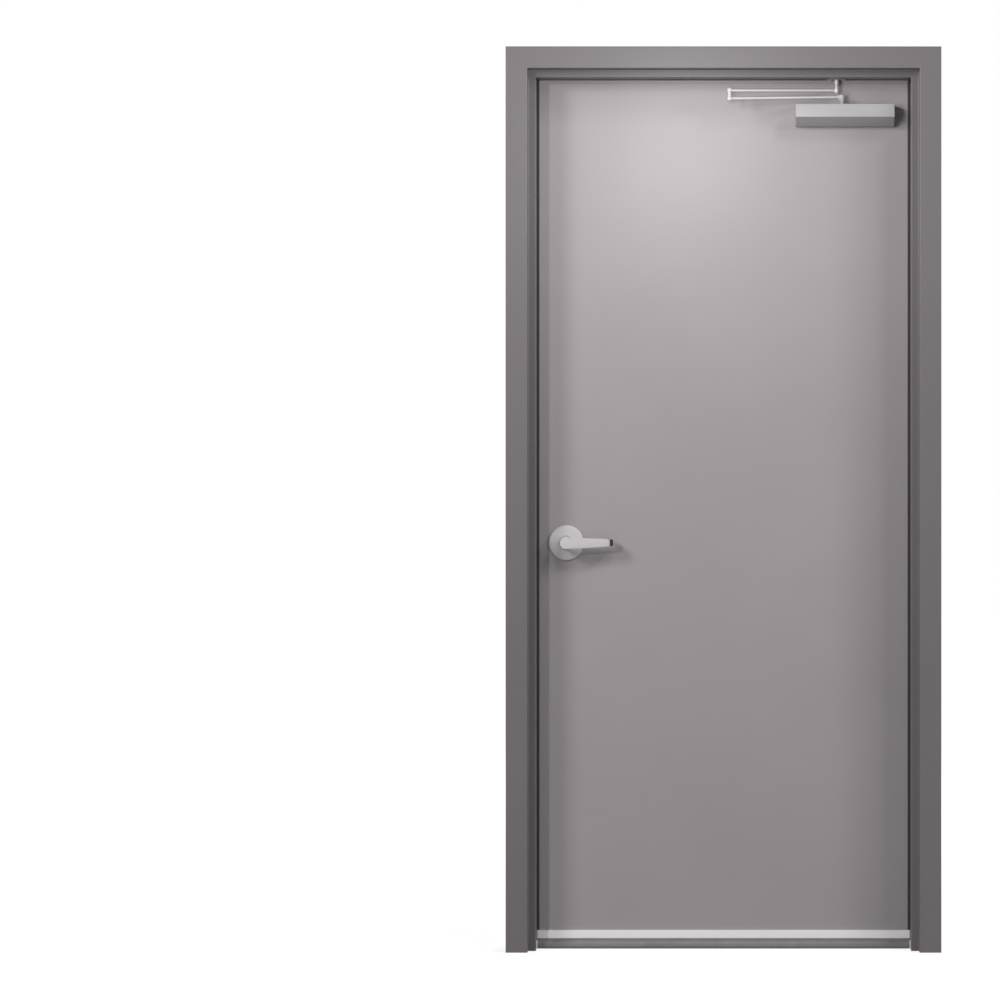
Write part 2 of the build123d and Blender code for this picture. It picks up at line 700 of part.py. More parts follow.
def sweep_retainer():
    """Extruded strip along the foot of the leaf's push face, slotted for the vinyl."""
    half = STOP_EDGE - EDGE_GAP
    y = (LEAF_PUSH - SWEEP_THICKNESS - SWEEP_LIP_THICKNESS / 2, LEAF_PUSH)
    strip = block((-half, half), y, (SWEEP_BOTTOM, SWEEP_BOTTOM + SWEEP_HEIGHT))
    strip = fillet(strip.edges().filter_by(Axis.X).group_by(Axis.Y)[0], SWEEP_WALL)
    slot = block(
        (-half, half),
        (y[0] + SWEEP_WALL, y[0] + SWEEP_WALL + SWEEP_LIP_THICKNESS - 2 * RUNNING_FIT),
        (SWEEP_BOTTOM, SWEEP_BOTTOM + SWEEP_HEIGHT / 2),
    )
    return strip - slot


def sweep_bulb():
    """Vinyl sweep: a tongue in the retainer, a flat lip and a round bulb at the floor."""
    half = STOP_EDGE - EDGE_GAP
    front = LEAF_PUSH - SWEEP_THICKNESS - SWEEP_LIP_THICKNESS / 2 + SWEEP_WALL
    back = front + SWEEP_LIP_THICKNESS - 2 * RUNNING_FIT
    top = SWEEP_BOTTOM + SWEEP_HEIGHT / 2
    centre = (LEAF_PUSH - BULB_OFFSET, BULB_RADIUS + FLOOR_CLEARANCE)
    lip = block((-half, half), (front, back), (centre[1], top))
    bulb = along(centre[0], centre[1], BULB_RADIUS, (-half, half))
    return lip + bulb


# Closer

def closer_plate():
    margin = CLOSER_PLATE_MARGIN
    return block(
        (CLOSER_LEFT + margin, CLOSER_RIGHT - margin),
        (LEAF_PUSH - CLOSER_PLATE_SHEET, LEAF_PUSH),
        (CLOSER_BOTTOM + margin, CLOSER_TOP - margin),
    )


def closer_body():
    """Cover section with an upright upper front and a lower front that slopes back."""
    back = LEAF_PUSH - CLOSER_PLATE_SHEET
    front = LEAF_PUSH - CLOSER_PROJECTION
    ridge = CLOSER_BOTTOM + CLOSER_RIDGE_RISE
    outline = Polyline(
        (back, CLOSER_BOTTOM),
        (front + CLOSER_LOWER_SLOPE, CLOSER_BOTTOM),
        (front, ridge),
        (front + CLOSER_UPPER_LEAN, CLOSER_TOP),
        (back, CLOSER_TOP),
        close=True,
    )
    plane = Plane(origin=(CLOSER_LEFT, 0, 0), x_dir=(0, 1, 0), z_dir=(1, 0, 0))
    body = extrude(plane * make_face(outline), CLOSER_RIGHT - CLOSER_LEFT, dir=(1, 0, 0))
    ends = body.faces().filter_by(Axis.X)
    trimmed = [e for e in ends.edges() if e.center().Y < back - 1]
    body = chamfer(trimmed, CLOSER_EDGE)
    collar = upright(PINION_X, PINION_Y, CLOSER_TOP, PINION_COLLAR_RADIUS, PINION_COLLAR_HEIGHT)
    low = CLOSER_TOP + PINION_COLLAR_HEIGHT - PINION_DEPTH - RUNNING_FIT
    bore = upright(PINION_X, PINION_Y, low, PINION_RADIUS + RUNNING_FIT, 2 * PINION_DEPTH)
    return body + collar - bore


def pinion():
    """Shaft in the closer's bore, with a thin stub that carries the arm's hub."""
    shoulder = CLOSER_TOP + PINION_COLLAR_HEIGHT
    shaft = upright(PINION_X, PINION_Y, shoulder - PINION_DEPTH, PINION_RADIUS, PINION_DEPTH)
    return shaft + upright(PINION_X, PINION_Y, shoulder, STUB_RADIUS, STUB_HEIGHT + STUB_SOCKET)


def elbow_half(z, end, waist):
    """Half of the elbow's barrel: a band round the rod's end and a waist at the parting."""
    centre = (ELBOW_X, ELBOW_Y)
    band = upright(*centre, z - ELBOW_BAND, ELBOW_RADIUS, 2 * ELBOW_BAND)
    cap = upright(*centre, min(z, end), ELBOW_WAIST, abs(end - z))
    neck = upright(*centre, min(z, waist), ELBOW_WAIST, abs(waist - z))
    return chamfer(band.edges().filter_by(GeomType.CIRCLE), ELBOW_EDGE) + cap + neck


def elbow_parting():
    return (FOREARM_AT_ELBOW + MAIN_ARM_AT_ELBOW) / 2


def main_arm():
    """Lower arm: a slanted hub on the pinion's stub, the rod and half of the elbow."""
    foot = CLOSER_TOP + PINION_COLLAR_HEIGHT + STUB_HEIGHT
    top = MAIN_ARM_AT_PINION + ROD_RADIUS
    hub = loft([
        Pos(PINION_X, PINION_Y, foot) * Circle(HUB_FOOT_RADIUS),
        Pos(PINION_X - HUB_TOP_OFFSET, PINION_Y, top) * Circle(HUB_TOP_RADIUS),
    ])
    start = (PINION_X, PINION_Y, MAIN_ARM_AT_PINION)
    end = (ELBOW_X, ELBOW_Y, MAIN_ARM_AT_ELBOW)
    waist = elbow_parting() - ELBOW_SPLIT / 2
    joint = elbow_half(MAIN_ARM_AT_ELBOW, MAIN_ARM_AT_ELBOW - ELBOW_END, waist)
    socket = upright(PINION_X, PINION_Y, foot, STUB_RADIUS, STUB_SOCKET)
    return hub + rod(start, end, ROD_RADIUS) + joint - socket


def forearm():
    """Upper arm: an eye on the bracket's post, the rod and the other half of the elbow."""
    low = FOREARM_AT_BRACKET - EYE_BELOW
    height = EYE_ABOVE + EYE_BELOW
    start = (BRACKET_X, BRACKET_Y, FOREARM_AT_BRACKET)
    end = (ELBOW_X, ELBOW_Y, FOREARM_AT_ELBOW)
    waist = elbow_parting() + ELBOW_SPLIT / 2
    joint = elbow_half(FOREARM_AT_ELBOW, FOREARM_AT_ELBOW + ELBOW_END, waist)
    hole = upright(BRACKET_X, BRACKET_Y, low, POST_RADIUS + RUNNING_FIT, height)
    eye = upright(BRACKET_X, BRACKET_Y, low, EYE_RADIUS, height)
    return eye + rod(start, end, ROD_RADIUS) + joint - hole


def closer_bracket():
    """Oblong foot on the head's soffit, and the tapered post that carries the forearm."""
    x, y = BRACKET_X, BRACKET_Y
    foot_low = HEAD_SOFFIT - BRACKET_SHEET
    slot = SlotOverall(BRACKET_LENGTH, BRACKET_DEPTH)
    foot = Pos(x, y, foot_low) * extrude(slot, BRACKET_SHEET)
    collar_low = foot_low - POST_COLLAR_HEIGHT
    collar = upright(x, y, collar_low, POST_COLLAR_RADIUS, POST_COLLAR_HEIGHT)
    cone_low = collar_low - POST_TAPER
    cone = taper(x, y, cone_low, POST_RADIUS, POST_COLLAR_RADIUS, POST_TAPER)
    keeper_top = FOREARM_AT_BRACKET - EYE_BELOW - SEAT_CLEARANCE
    keeper = upright(x, y, keeper_top - KEEPER_HEIGHT, KEEPER_RADIUS, KEEPER_HEIGHT)
    keeper = chamfer(keeper.faces().sort_by(Axis.Z)[0].edges(), KEEPER_HEIGHT / 2)
    post = upright(x, y, keeper_top, POST_RADIUS, cone_low - keeper_top)
    return foot + collar + cone + post + keeper


def main():
    os.makedirs("parts", exist_ok=True)
    write("hinge_jamb", hinge_jamb())
    write("strike_jamb", strike_jamb())
    write("head", head_bar())
    write("hinge_floor_anchor", floor_anchor(1))
    write("strike_floor_anchor", floor_anchor(-1))
    write("jamb_hinge_plates", jamb_hinge_plates())
    write("strike_plate", strike_plate())
    write("strike_box", strike_box())
    write("hinge_side_seal", seal_upright(1))
    write("strike_side_seal", seal_upright(-1))
    write("head_seal", seal_head())
    write("closer_bracket", closer_bracket())
    for name, z in HINGE_CENTRES.items():
        write(f"{name}_hinge_frame_half", hinge_half(z, 1))
        write(f"{name}_hinge_leaf_half", hinge_half(z, -1))
        write(f"{name}_hinge_pin", hinge_pin(z))
    write("push_skin", skin(LEAF_PUSH, 1))
    write("pull_skin", skin(LEAF_PULL, -1))
    write("honeycomb_core", honeycomb_core())
    write("top_channel", edge_channel(LEAF_TOP, -1))
    write("bottom_channel", edge_channel(UNDERCUT, 1))
    write("leaf_hinge_plates", leaf_hinge_plates())
    write("push_rose", rose(-1))
    write("pull_rose", rose(1))
    write("lock_case", lock_case())
    write("latch_face", latch_face())
    write("latch_bolt", latch_bolt())
    write("push_lever", lever(-1))
    write("pull_lever", lever(1))
    write("push_lever_tail", lever_tail(-1))
    write("pull_lever_tail", lever_tail(1))
    write("spindle", spindle())
    write("sweep_retainer", sweep_retainer())
    write("sweep_bulb", sweep_bulb())
    write("closer_plate", closer_plate())
    write("closer_body", closer_body())
    write("pinion", pinion())
    write("main_arm", main_arm())
    write("forearm", forearm())


main()
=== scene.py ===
import math

import bpy
import numpy as np
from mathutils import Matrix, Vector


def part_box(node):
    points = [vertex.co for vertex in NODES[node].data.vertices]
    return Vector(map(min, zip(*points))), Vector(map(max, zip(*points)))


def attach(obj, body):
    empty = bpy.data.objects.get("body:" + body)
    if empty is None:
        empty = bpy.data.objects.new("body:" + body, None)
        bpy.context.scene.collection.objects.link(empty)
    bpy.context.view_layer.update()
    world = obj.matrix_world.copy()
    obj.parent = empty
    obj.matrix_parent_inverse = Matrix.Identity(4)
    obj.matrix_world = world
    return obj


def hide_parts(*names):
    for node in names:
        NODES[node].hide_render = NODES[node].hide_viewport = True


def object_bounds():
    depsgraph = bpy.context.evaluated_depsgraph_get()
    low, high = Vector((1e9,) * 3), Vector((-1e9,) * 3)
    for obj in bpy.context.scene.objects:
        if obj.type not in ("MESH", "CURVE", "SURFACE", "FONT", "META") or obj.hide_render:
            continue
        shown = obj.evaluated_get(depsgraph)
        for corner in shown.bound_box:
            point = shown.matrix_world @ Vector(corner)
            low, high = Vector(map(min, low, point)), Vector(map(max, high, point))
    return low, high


bl_info = {
    "name": "Commercial steel door",
    "version": (1, 0, 0),
    "blender": (4, 5, 0),
    "location": "View3D > Sidebar > Steel door",
    "description": "Fine parts and finishes for a hollow-metal door in its steel frame",
    "category": "Object",
}

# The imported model, and its box before anything is added to it
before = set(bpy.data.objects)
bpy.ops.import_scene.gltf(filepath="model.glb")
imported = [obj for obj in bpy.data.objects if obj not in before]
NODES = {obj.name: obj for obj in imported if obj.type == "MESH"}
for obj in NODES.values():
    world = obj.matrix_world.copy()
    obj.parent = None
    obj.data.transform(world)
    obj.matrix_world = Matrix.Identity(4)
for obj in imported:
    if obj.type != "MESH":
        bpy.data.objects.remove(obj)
CAD_BOX = [list(corner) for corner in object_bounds()]

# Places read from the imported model, in metres
DOOR_X = (CAD_BOX[0][0] + CAD_BOX[1][0]) / 2
FACE_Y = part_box("head")[0].y
PUSH_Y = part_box("push_skin")[0].y
PULL_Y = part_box("pull_skin")[1].y
SPINDLE = tuple((a + b) / 2 for a, b in zip(*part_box("spindle")))
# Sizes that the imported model's boxes don't give, in metres. The hinges: their leaves'
# thickness, how far these stand beside and behind the pin's axis, the knuckles and the pin
HINGE_THICKNESS = 0.0034
HINGE_BESIDE = 0.0025
HINGE_BEHIND = 0.00835
KNUCKLE_RADIUS = 0.00795
KNUCKLE_BORE = 0.00455
PIN_RADIUS = 0.0045
# The screws' places from a hinge leaf's rear edge and its middle height
HINGE_SCREWS = ((0.0125, 0.044), (0.033, 0.019), (0.033, -0.019), (0.0125, -0.044))
# The lever's grip: the hub's radius and drop, half the tip's height, and the depth
HUB_RADIUS = 0.0136
HUB_DROP = 0.0012
TIP_HALF = 0.00925
GRIP_DEPTH = 0.013
# The sweep: the strip's wall, slot and depth, the bulb, and what's added at each end
STRIP_WALL = 0.0012
STRIP_DEPTH = 0.0063
SLOT_WIDTH = 0.0045
SLOT_HEIGHT = 0.0095
BULB_RADIUS = 0.0093
BULB_OUT = 0.0074
SWEEP_REACH = 0.0038
# The gap between the sweep's strip and the side seals' feet
SEAL_GAP = 0.0012
# The closer: its cover's ridge, lean, slope and collar, its arms, its bracket, its screws
RIDGE_RISE = 0.0196
COVER_LEAN = 0.0025
COVER_SLOPE = 0.038
COLLAR_RISE = 0.001
ROD_RADIUS = 0.0029
ELBOW_RADIUS = 0.0062
ELBOW_END = 0.006
ELBOW_PARTING = 0.0006
BRACKET_FOOT = 0.0025
ARM_SCREW_RADIUS = 0.0042

# The camera: its distance from the frame's face and its height in metres, its lens in mm and
# its shift in widths of the picture
CAMERA_DISTANCE = 10.5
CAMERA_HEIGHT = 1.0569
CAMERA_LENS = 162.18
CAMERA_SHIFT = (-0.2235, -0.0007)
# Each lamp's place (right of the door's middle, out from the leaf, height), the height it's
# aimed at and its diameter, in metres
LAMPS = {
    "key": ((-4.2, 8.0, 3.4), 1.2, 0.4),
    "left": ((-3.4, 3.2, 3.3), 0.9, 1.2),
    "right": ((5.5, 3.2, 3.4), 0.6, 1.6),
    "high": ((4.0, 4.0, 6.0), 0.8, 1.6),
    "top": ((-0.1, 1.0, 1.94), 1.88, 0.3),
    "back": ((1.5, -6.0, 4.5), 1.0, 1.6),
}
# The floor: half its width, the distances over which its glow fades to white, in metres, and
# the glow's level at the near one
FLOOR_SIZE = 30.0
FLOOR_NEAR = 1.2
FLOOR_FAR = 7.0
FLOOR_GLOW = 0.82

X = np.array((1.0, 0.0, 0.0))
Y = np.array((0.0, 1.0, 0.0))
Z = np.array((0.0, 0.0, 1.0))


# Surfaces

def rounded(corners, radii, steps=6):
    """A closed polygon with round corners, as an array of points.

    Each corner P with unit vectors u and v along its two sides gets an arc of radius r whose
    centre lies r / sin(half angle) along the bisector. The arc's directions turn evenly from
    one tangent point to the other.
    """
    points = np.asarray(corners, float)
    radii = np.broadcast_to(np.asarray(radii, float), len(points))[:, None]
    back = np.roll(points, 1, axis=0) - points
    on = np.roll(points, -1, axis=0) - points
    back /= np.linalg.norm(back, axis=1, keepdims=True)
    on /= np.linalg.norm(on, axis=1, keepdims=True)
    half = np.arccos(np.clip((back * on).sum(1), -1, 1))[:, None] / 2
    bisector = (back + on) / np.linalg.norm(back + on, axis=1, keepdims=True)
    centre = points + bisector * radii / np.sin(half)
    first = points + back * radii / np.tan(half) - centre
    last = points + on * radii / np.tan(half) - centre
    sweep = np.pi - 2 * half[:, :, None]
    share = np.linspace(0, 1, steps)[None, :, None]
    arc = np.sin((1 - share) * sweep) * first[:, None] + np.sin(share * sweep) * last[:, None]
    return (centre[:, None] + arc / np.sin(sweep)).reshape(-1, points.shape[1])


def outward(outline):
    """Unit normals of a closed outline that runs anticlockwise: its mean tangent, turned right."""
    tangent = np.roll(outline, -1, axis=0) - np.roll(outline, 1, axis=0)
    tangent /= np.linalg.norm(tangent, axis=1, keepdims=True)
    return np.stack([tangent[:, 1], -tangent[:, 0]], axis=1)


def plate(outline, low, high, low_round, high_round, steps=5):
    """Rings of a flat piece with soft rims.

    The outline is carried from low to high. Within a rim of radius r it's drawn in by
    r (1 - cos t) and set back by r (1 - sin t), with t from 0 at the face to 90 degrees.
    """
    turn = np.linspace(0, np.pi / 2, steps)
    inset = np.concatenate([low_round * (1 - np.sin(turn)), high_round * (1 - np.cos(turn))])
    rise = np.concatenate(
        [low + low_round * (1 - np.cos(turn)), high - high_round * (1 - np.sin(turn))]
    )
    flat = outline[None] - inset[:, None, None] * outward(outline)[None]
    return np.concatenate([flat, np.broadcast_to(rise[:, None, None], flat.shape[:2] + (1,))], 2)


def placed(rings, origin, u, v, w):
    """Points (a, b, c) of a ring array set at origin + a u + b v + c w."""
    axes = np.stack([u, v, w])
    return np.asarray(origin) + rings @ axes


def turned(profile, origin, axis, columns=48):
    """Rings of a surface of revolution: each (r, h) is a circle of radius r at h on the axis."""
    profile = np.asarray(profile, float)
    side = X if abs(axis[0]) < 0.9 else Y
    other = np.cross(axis, side)
    angle = np.linspace(0, 2 * np.pi, columns, endpoint=False)
    circle = np.cos(angle)[:, None] * side + np.sin(angle)[:, None] * other
    return (
        np.asarray(origin)
        + profile[:, 0, None, None] * circle[None]
        + profile[:, 1, None, None] * np.asarray(axis)
    )


def slanted(profile, x, y, columns=48):
    """Rings of level circles: each (r, h, s) has radius r at height h, centred on x + s and y."""
    radius, height, shift = np.asarray(profile, float).T[:, :, None]
    angle = np.linspace(0, 2 * np.pi, columns, endpoint=False)
    rings = (x + shift + radius * np.cos(angle), y + radius * np.sin(angle), height + 0 * angle)
    return np.stack(rings, axis=-1)


def bar(start, end, radius, columns=28):
    """Rings of a round bar from start to end."""
    start, end = np.asarray(start), np.asarray(end)
    run = end - start
    length = np.linalg.norm(run)
    return turned([(radius, 0.0), (radius, length)], start, run / length, columns)


def shell(rings, looped=False):
    """Points and faces of a closed surface over rings.

    Neighbouring rings are joined by quads. A looped shell joins its last ring to its first,
    and any other is closed by one flat face at each end. A shell whose signed volume comes
    out negative is turned over, so its faces point outwards.
    """
    rows, columns = rings.shape[:2]
    index = np.arange(rows * columns).reshape(rows, columns)
    upper = np.roll(index, -1, axis=0) if looped else index[1:]
    lower = index if looped else index[:-1]
    faces = np.stack(
        [lower, np.roll(lower, -1, axis=1), np.roll(upper, -1, axis=1), upper], axis=-1
    ).reshape(-1, 4).tolist()
    if not looped:
        faces += [index[0, ::-1].tolist(), index[-1].tolist()]
    points = rings.reshape(-1, 3)
    centred = points - points.mean(0)
    fans = [(f[0], f[k], f[k + 1]) for f in faces for k in range(1, len(f) - 1)]
    a, b, c = (centred[np.array(fans)[:, k]] for k in range(3))
    if (np.cross(a, b) * c).sum() < 0:
        faces = [face[::-1] for face in faces]
    return points, faces


def add_piece(name, shells, body, material, nodes=(), sharp=32.0):
    """One named mesh object from closed shells, riding on a body and shaded smooth."""
    points, faces, count = [], [], 0
    for part_points, part_faces in shells:
        points.append(part_points)
        faces += [[i + count for i in face] for face in part_faces]
        count += len(part_points)
    mesh = bpy.data.meshes.new(name)
    mesh.from_pydata(np.concatenate(points).tolist(), [], faces)
    mesh.shade_smooth()
    mesh.set_sharp_from_angle(angle=math.radians(sharp))
    mesh.validate()
    mesh.materials.append(material)
    piece = bpy.data.objects.new(name, mesh)
    bpy.context.scene.collection.objects.link(piece)
    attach(piece, body)
    if nodes:
        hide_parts(*nodes)
    return piece


def screw_shell(origin, outwards, radius, tilt=0.0, proud=0.0002):
    """A countersunk head with a cross recess, as one shell.

    Going inwards, the rings are the rim below the plate, the rim, the recess's outline and
    its floor. The outline at angle p from an arm is l / cos p along the arm's end and
    w / sin p along its side, for an arm of length l and half width w.
    """
    columns = 48
    arm, width = radius * 0.62, radius * 0.16
    angle = np.linspace(0, 2 * np.pi, columns, endpoint=False)
    fold = np.abs((angle + np.pi / 4) % (np.pi / 2) - np.pi / 4)
    along = arm / np.cos(fold)
    beside = width / np.maximum(np.sin(fold), 1e-6)
    cross = np.minimum(along, beside)
    rim = np.full(columns, radius)
    reach = np.stack([rim, rim, rim * 0.94, cross, cross * 0.55])
    height = np.array([-0.0006, proud * 0.4, proud, proud * 0.8, -radius * 0.45])
    outwards = np.asarray(outwards, float)
    side = Z if abs(outwards[2]) < 0.9 else X
    other = np.cross(outwards, side)
    circle = np.cos(angle + tilt)[:, None] * side + np.sin(angle + tilt)[:, None] * other
    rings = (
        np.asarray(origin)
        + reach[:, :, None] * circle[None]
        + height[:, None, None] * outwards
    )
    return shell(rings)


# Materials

def grain_group():
    """Fine grain and slow clouding over Object coordinates, as values around 0.5."""
    if "surface_grain" in bpy.data.node_groups:
        return bpy.data.node_groups["surface_grain"]
    group = bpy.data.node_groups.new("surface_grain", "ShaderNodeTree")
    for name, default in (("Grain Size", 0.0015), ("Cloud Size", 0.3)):
        socket = group.interface.new_socket(name, in_out="INPUT", socket_type="NodeSocketFloat")
        socket.default_value = default
    for name in ("Grain", "Cloud"):
        group.interface.new_socket(name, in_out="OUTPUT", socket_type="NodeSocketFloat")
    nodes, links = group.nodes, group.links
    inputs = nodes.new("NodeGroupInput")
    outputs = nodes.new("NodeGroupOutput")
    place = nodes.new("ShaderNodeTexCoord")
    for name, detail, rough in (("Grain", 2.0, 0.5), ("Cloud", 3.0, 0.6)):
        inverse = nodes.new("ShaderNodeMath")
        inverse.operation = "DIVIDE"
        inverse.inputs[0].default_value = 1.0
        links.new(inputs.outputs[f"{name} Size"], inverse.inputs[1])
        noise = nodes.new("ShaderNodeTexNoise")
        noise.inputs["Detail"].default_value = detail
        noise.inputs["Roughness"].default_value = rough
        links.new(place.outputs["Object"], noise.inputs["Vector"])
        links.new(inverse.outputs[0], noise.inputs["Scale"])
        links.new(noise.outputs["Fac"], outputs.inputs[name])
    return group


def brushed_group():
    """Fine brush lines: noise over Object coordinates drawn out along one direction."""
    if "brushed_lines" in bpy.data.node_groups:
        return bpy.data.node_groups["brushed_lines"]
    group = bpy.data.node_groups.new("brushed_lines", "ShaderNodeTree")
    socket = group.interface.new_socket(
        "Stretch", in_out="INPUT", socket_type="NodeSocketVector"
    )
    socket.default_value = (40.0, 2500.0, 2500.0)
    group.interface.new_socket("Lines", in_out="OUTPUT", socket_type="NodeSocketFloat")
    nodes, links = group.nodes, group.links
    inputs = nodes.new("NodeGroupInput")
    outputs = nodes.new("NodeGroupOutput")
    place = nodes.new("ShaderNodeTexCoord")
    stretch = nodes.new("ShaderNodeVectorMath")
    stretch.operation = "MULTIPLY"
    links.new(place.outputs["Object"], stretch.inputs[0])
    links.new(inputs.outputs["Stretch"], stretch.inputs[1])
    noise = nodes.new("ShaderNodeTexNoise")
    noise.inputs["Scale"].default_value = 1.0
    noise.inputs["Detail"].default_value = 3.0
    links.new(stretch.outputs[0], noise.inputs["Vector"])
    links.new(noise.outputs["Fac"], outputs.inputs["Lines"])
    return group


def blank_material(name):
    """A new material with its nodes, its links and its shader."""
    material = bpy.data.materials.new(name)
    material.use_nodes = True
    nodes = material.node_tree.nodes
    return material, nodes, material.node_tree.links, nodes["Principled BSDF"]


def patterned(name, tree, sockets, tone, fine, colour, spread, gloss, relief, depth):
    """A material that follows two outputs of a node group.

    As the output tone goes from 0.3 to 0.7, the colour goes from 1 - spread to 1 + spread
    times the given one. The output fine takes the roughness between the two values of gloss,
    and it gives a relief of some depth in metres.
    """
    material, nodes, links, shader = blank_material(name)
    group = nodes.new("ShaderNodeGroup")
    group.node_tree = tree
    for socket, value in sockets.items():
        group.inputs[socket].default_value = value
    ramp = nodes.new("ShaderNodeValToRGB")
    for element, place, factor in zip(ramp.color_ramp.elements, (0.3, 0.7), (-1, 1)):
        element.position = place
        element.color = (*(min(c * (1 + factor * spread), 1.0) for c in colour), 1)
    links.new(group.outputs[tone], ramp.inputs["Fac"])
    links.new(ramp.outputs["Color"], shader.inputs["Base Color"])
    rough = nodes.new("ShaderNodeMapRange")
    rough.inputs["From Min"].default_value = 0.3
    rough.inputs["From Max"].default_value = 0.7
    rough.inputs["To Min"].default_value = gloss[0]
    rough.inputs["To Max"].default_value = gloss[1]
    links.new(group.outputs[fine], rough.inputs["Value"])
    links.new(rough.outputs["Result"], shader.inputs["Roughness"])
    bump = nodes.new("ShaderNodeBump")
    bump.inputs["Strength"].default_value = relief
    bump.inputs["Distance"].default_value = depth
    links.new(group.outputs[fine], bump.inputs["Height"])
    links.new(bump.outputs["Normal"], shader.inputs["Normal"])
    return material


def satin_paint(name, colour, rough, grain=0.0012, relief=0.25, cloud=0.03):
    """Sprayed satin paint: slow clouding in its colour, orange peel in its relief and gloss."""
    sockets = {"Grain Size": grain, "Cloud Size": 0.45}
    gloss = (rough - 0.03, rough + 0.03)
    return patterned(
        name, grain_group(), sockets, "Cloud", "Grain", colour, cloud, gloss, relief, 0.00006
    )


def brushed_metal(name, colour, rough, stretch, relief=0.3, metallic=1.0, spread=0.06):
    """Brushed or drawn metal: lines along one direction in its colour, gloss and relief."""
    sockets = {"Stretch": stretch}
    gloss = (rough - 0.05, rough + 0.05)
    material = patterned(
        name, brushed_group(), sockets, "Lines", "Lines", colour, spread, gloss, relief, 0.00003
    )
    shader = material.node_tree.nodes["Principled BSDF"]
    shader.inputs["Metallic"].default_value = metallic
    return material


def soft_rubber(name, colour, rough, grain=0.0006, relief=0.5):
    """Matte rubber or vinyl: a fine pore grain in its relief and a little clouding."""
    sockets = {"Grain Size": grain, "Cloud Size": 0.05}
    gloss = (rough - 0.05, rough + 0.05)
    return patterned(
        name, grain_group(), sockets, "Cloud", "Grain", colour, 0.1, gloss, relief, 0.00005
    )


def core_board(name):
    """Kraft honeycomb seen at a cut: hexagonal cells from a Voronoi pattern's borders."""
    material, nodes, links, shader = blank_material(name)
    place = nodes.new("ShaderNodeTexCoord")
    cells = nodes.new("ShaderNodeTexVoronoi")
    cells.feature = "DISTANCE_TO_EDGE"
    cells.inputs["Scale"].default_value = 60.0
    cells.inputs["Randomness"].default_value = 0.25
    links.new(place.outputs["Object"], cells.inputs["Vector"])
    walls = nodes.new("ShaderNodeValToRGB")
    walls.color_ramp.elements[0].position = 0.04
    walls.color_ramp.elements[0].color = (0.42, 0.29, 0.17, 1)
    walls.color_ramp.elements[1].position = 0.1
    walls.color_ramp.elements[1].color = (0.12, 0.08, 0.05, 1)
    links.new(cells.outputs["Distance"], walls.inputs["Fac"])
    links.new(walls.outputs["Color"], shader.inputs["Base Color"])
    shader.inputs["Roughness"].default_value = 0.9
    return material


def finish(slot):
    """The procedural material for a slot, made once with the colours of the panel."""
    name = f"{slot}_finish"
    if name in bpy.data.materials:
        return bpy.data.materials[name]
    colours = bpy.context.scene.door_finishes
    makers = {
        "frame_paint": lambda n: satin_paint(n, colours.frame_colour, colours.paint_roughness),
        "leaf_paint": lambda n: satin_paint(n, colours.leaf_colour, colours.paint_roughness),
        "closer_paint": lambda n: satin_paint(
            n, colours.closer_colour, 0.42, grain=0.0008, relief=0.3
        ),
        "arm_paint": lambda n: brushed_metal(
            n, colours.arm_colour, 0.48, (700.0, 700.0, 700.0), relief=0.15, metallic=0.25,
            spread=0.02,
        ),
        "lever_metal": lambda n: brushed_metal(
            n, colours.lever_colour, 0.5, (500.0, 500.0, 500.0), relief=0.15, metallic=0.15,
            spread=0.02,
        ),
        "hinge_steel": lambda n: brushed_metal(
            n, (0.56, 0.55, 0.54), 0.36, (2200.0, 2200.0, 60.0)
        ),
        "plated_steel": lambda n: satin_paint(
            n, (0.42, 0.42, 0.41), 0.45, grain=0.004, relief=0.2, cloud=0.12
        ),
        "sweep_aluminium": lambda n: brushed_metal(
            n, colours.strip_colour, 0.5, (25.0, 2500.0, 2500.0), relief=0.2, metallic=0.25,
            spread=0.03,
        ),
        "sweep_vinyl": lambda n: soft_rubber(
            n, colours.vinyl_colour, 0.35, grain=0.001, relief=0.1
        ),
        "seal_rubber": lambda n: soft_rubber(n, (0.025, 0.025, 0.03), 0.75),
        "lever_tail_black": lambda n: soft_rubber(
            n, (0.012, 0.012, 0.016), 0.42, grain=0.0008, relief=0.2
        ),
        "core_board": core_board,
    }
    return makers[slot](name)


def dress(slot, *nodes):
    """Gives carried-over CAD nodes the finish of a slot."""
    for name in nodes:
        mesh = NODES[name].data
        mesh.materials.clear()
        mesh.materials.append(finish(slot))


# Settings

def colour_setting(name, text, colour):
    """A colour on the panel."""
    return bpy.props.FloatVectorProperty(
        name=name, description=text, subtype="COLOR", size=3, min=0, max=1, default=colour,
    )


def length_setting(name, text, low, high, length):
    """A length in metres on the panel."""
    return bpy.props.FloatProperty(
        name=name, description=text, subtype="DISTANCE", unit="LENGTH",
        min=low, max=high, default=length,
    )


def power_setting(name, text, power):
    """A lamp's power in watts on the panel."""
    return bpy.props.FloatProperty(
        name=name, description=text, subtype="POWER", min=0, default=power,
    )


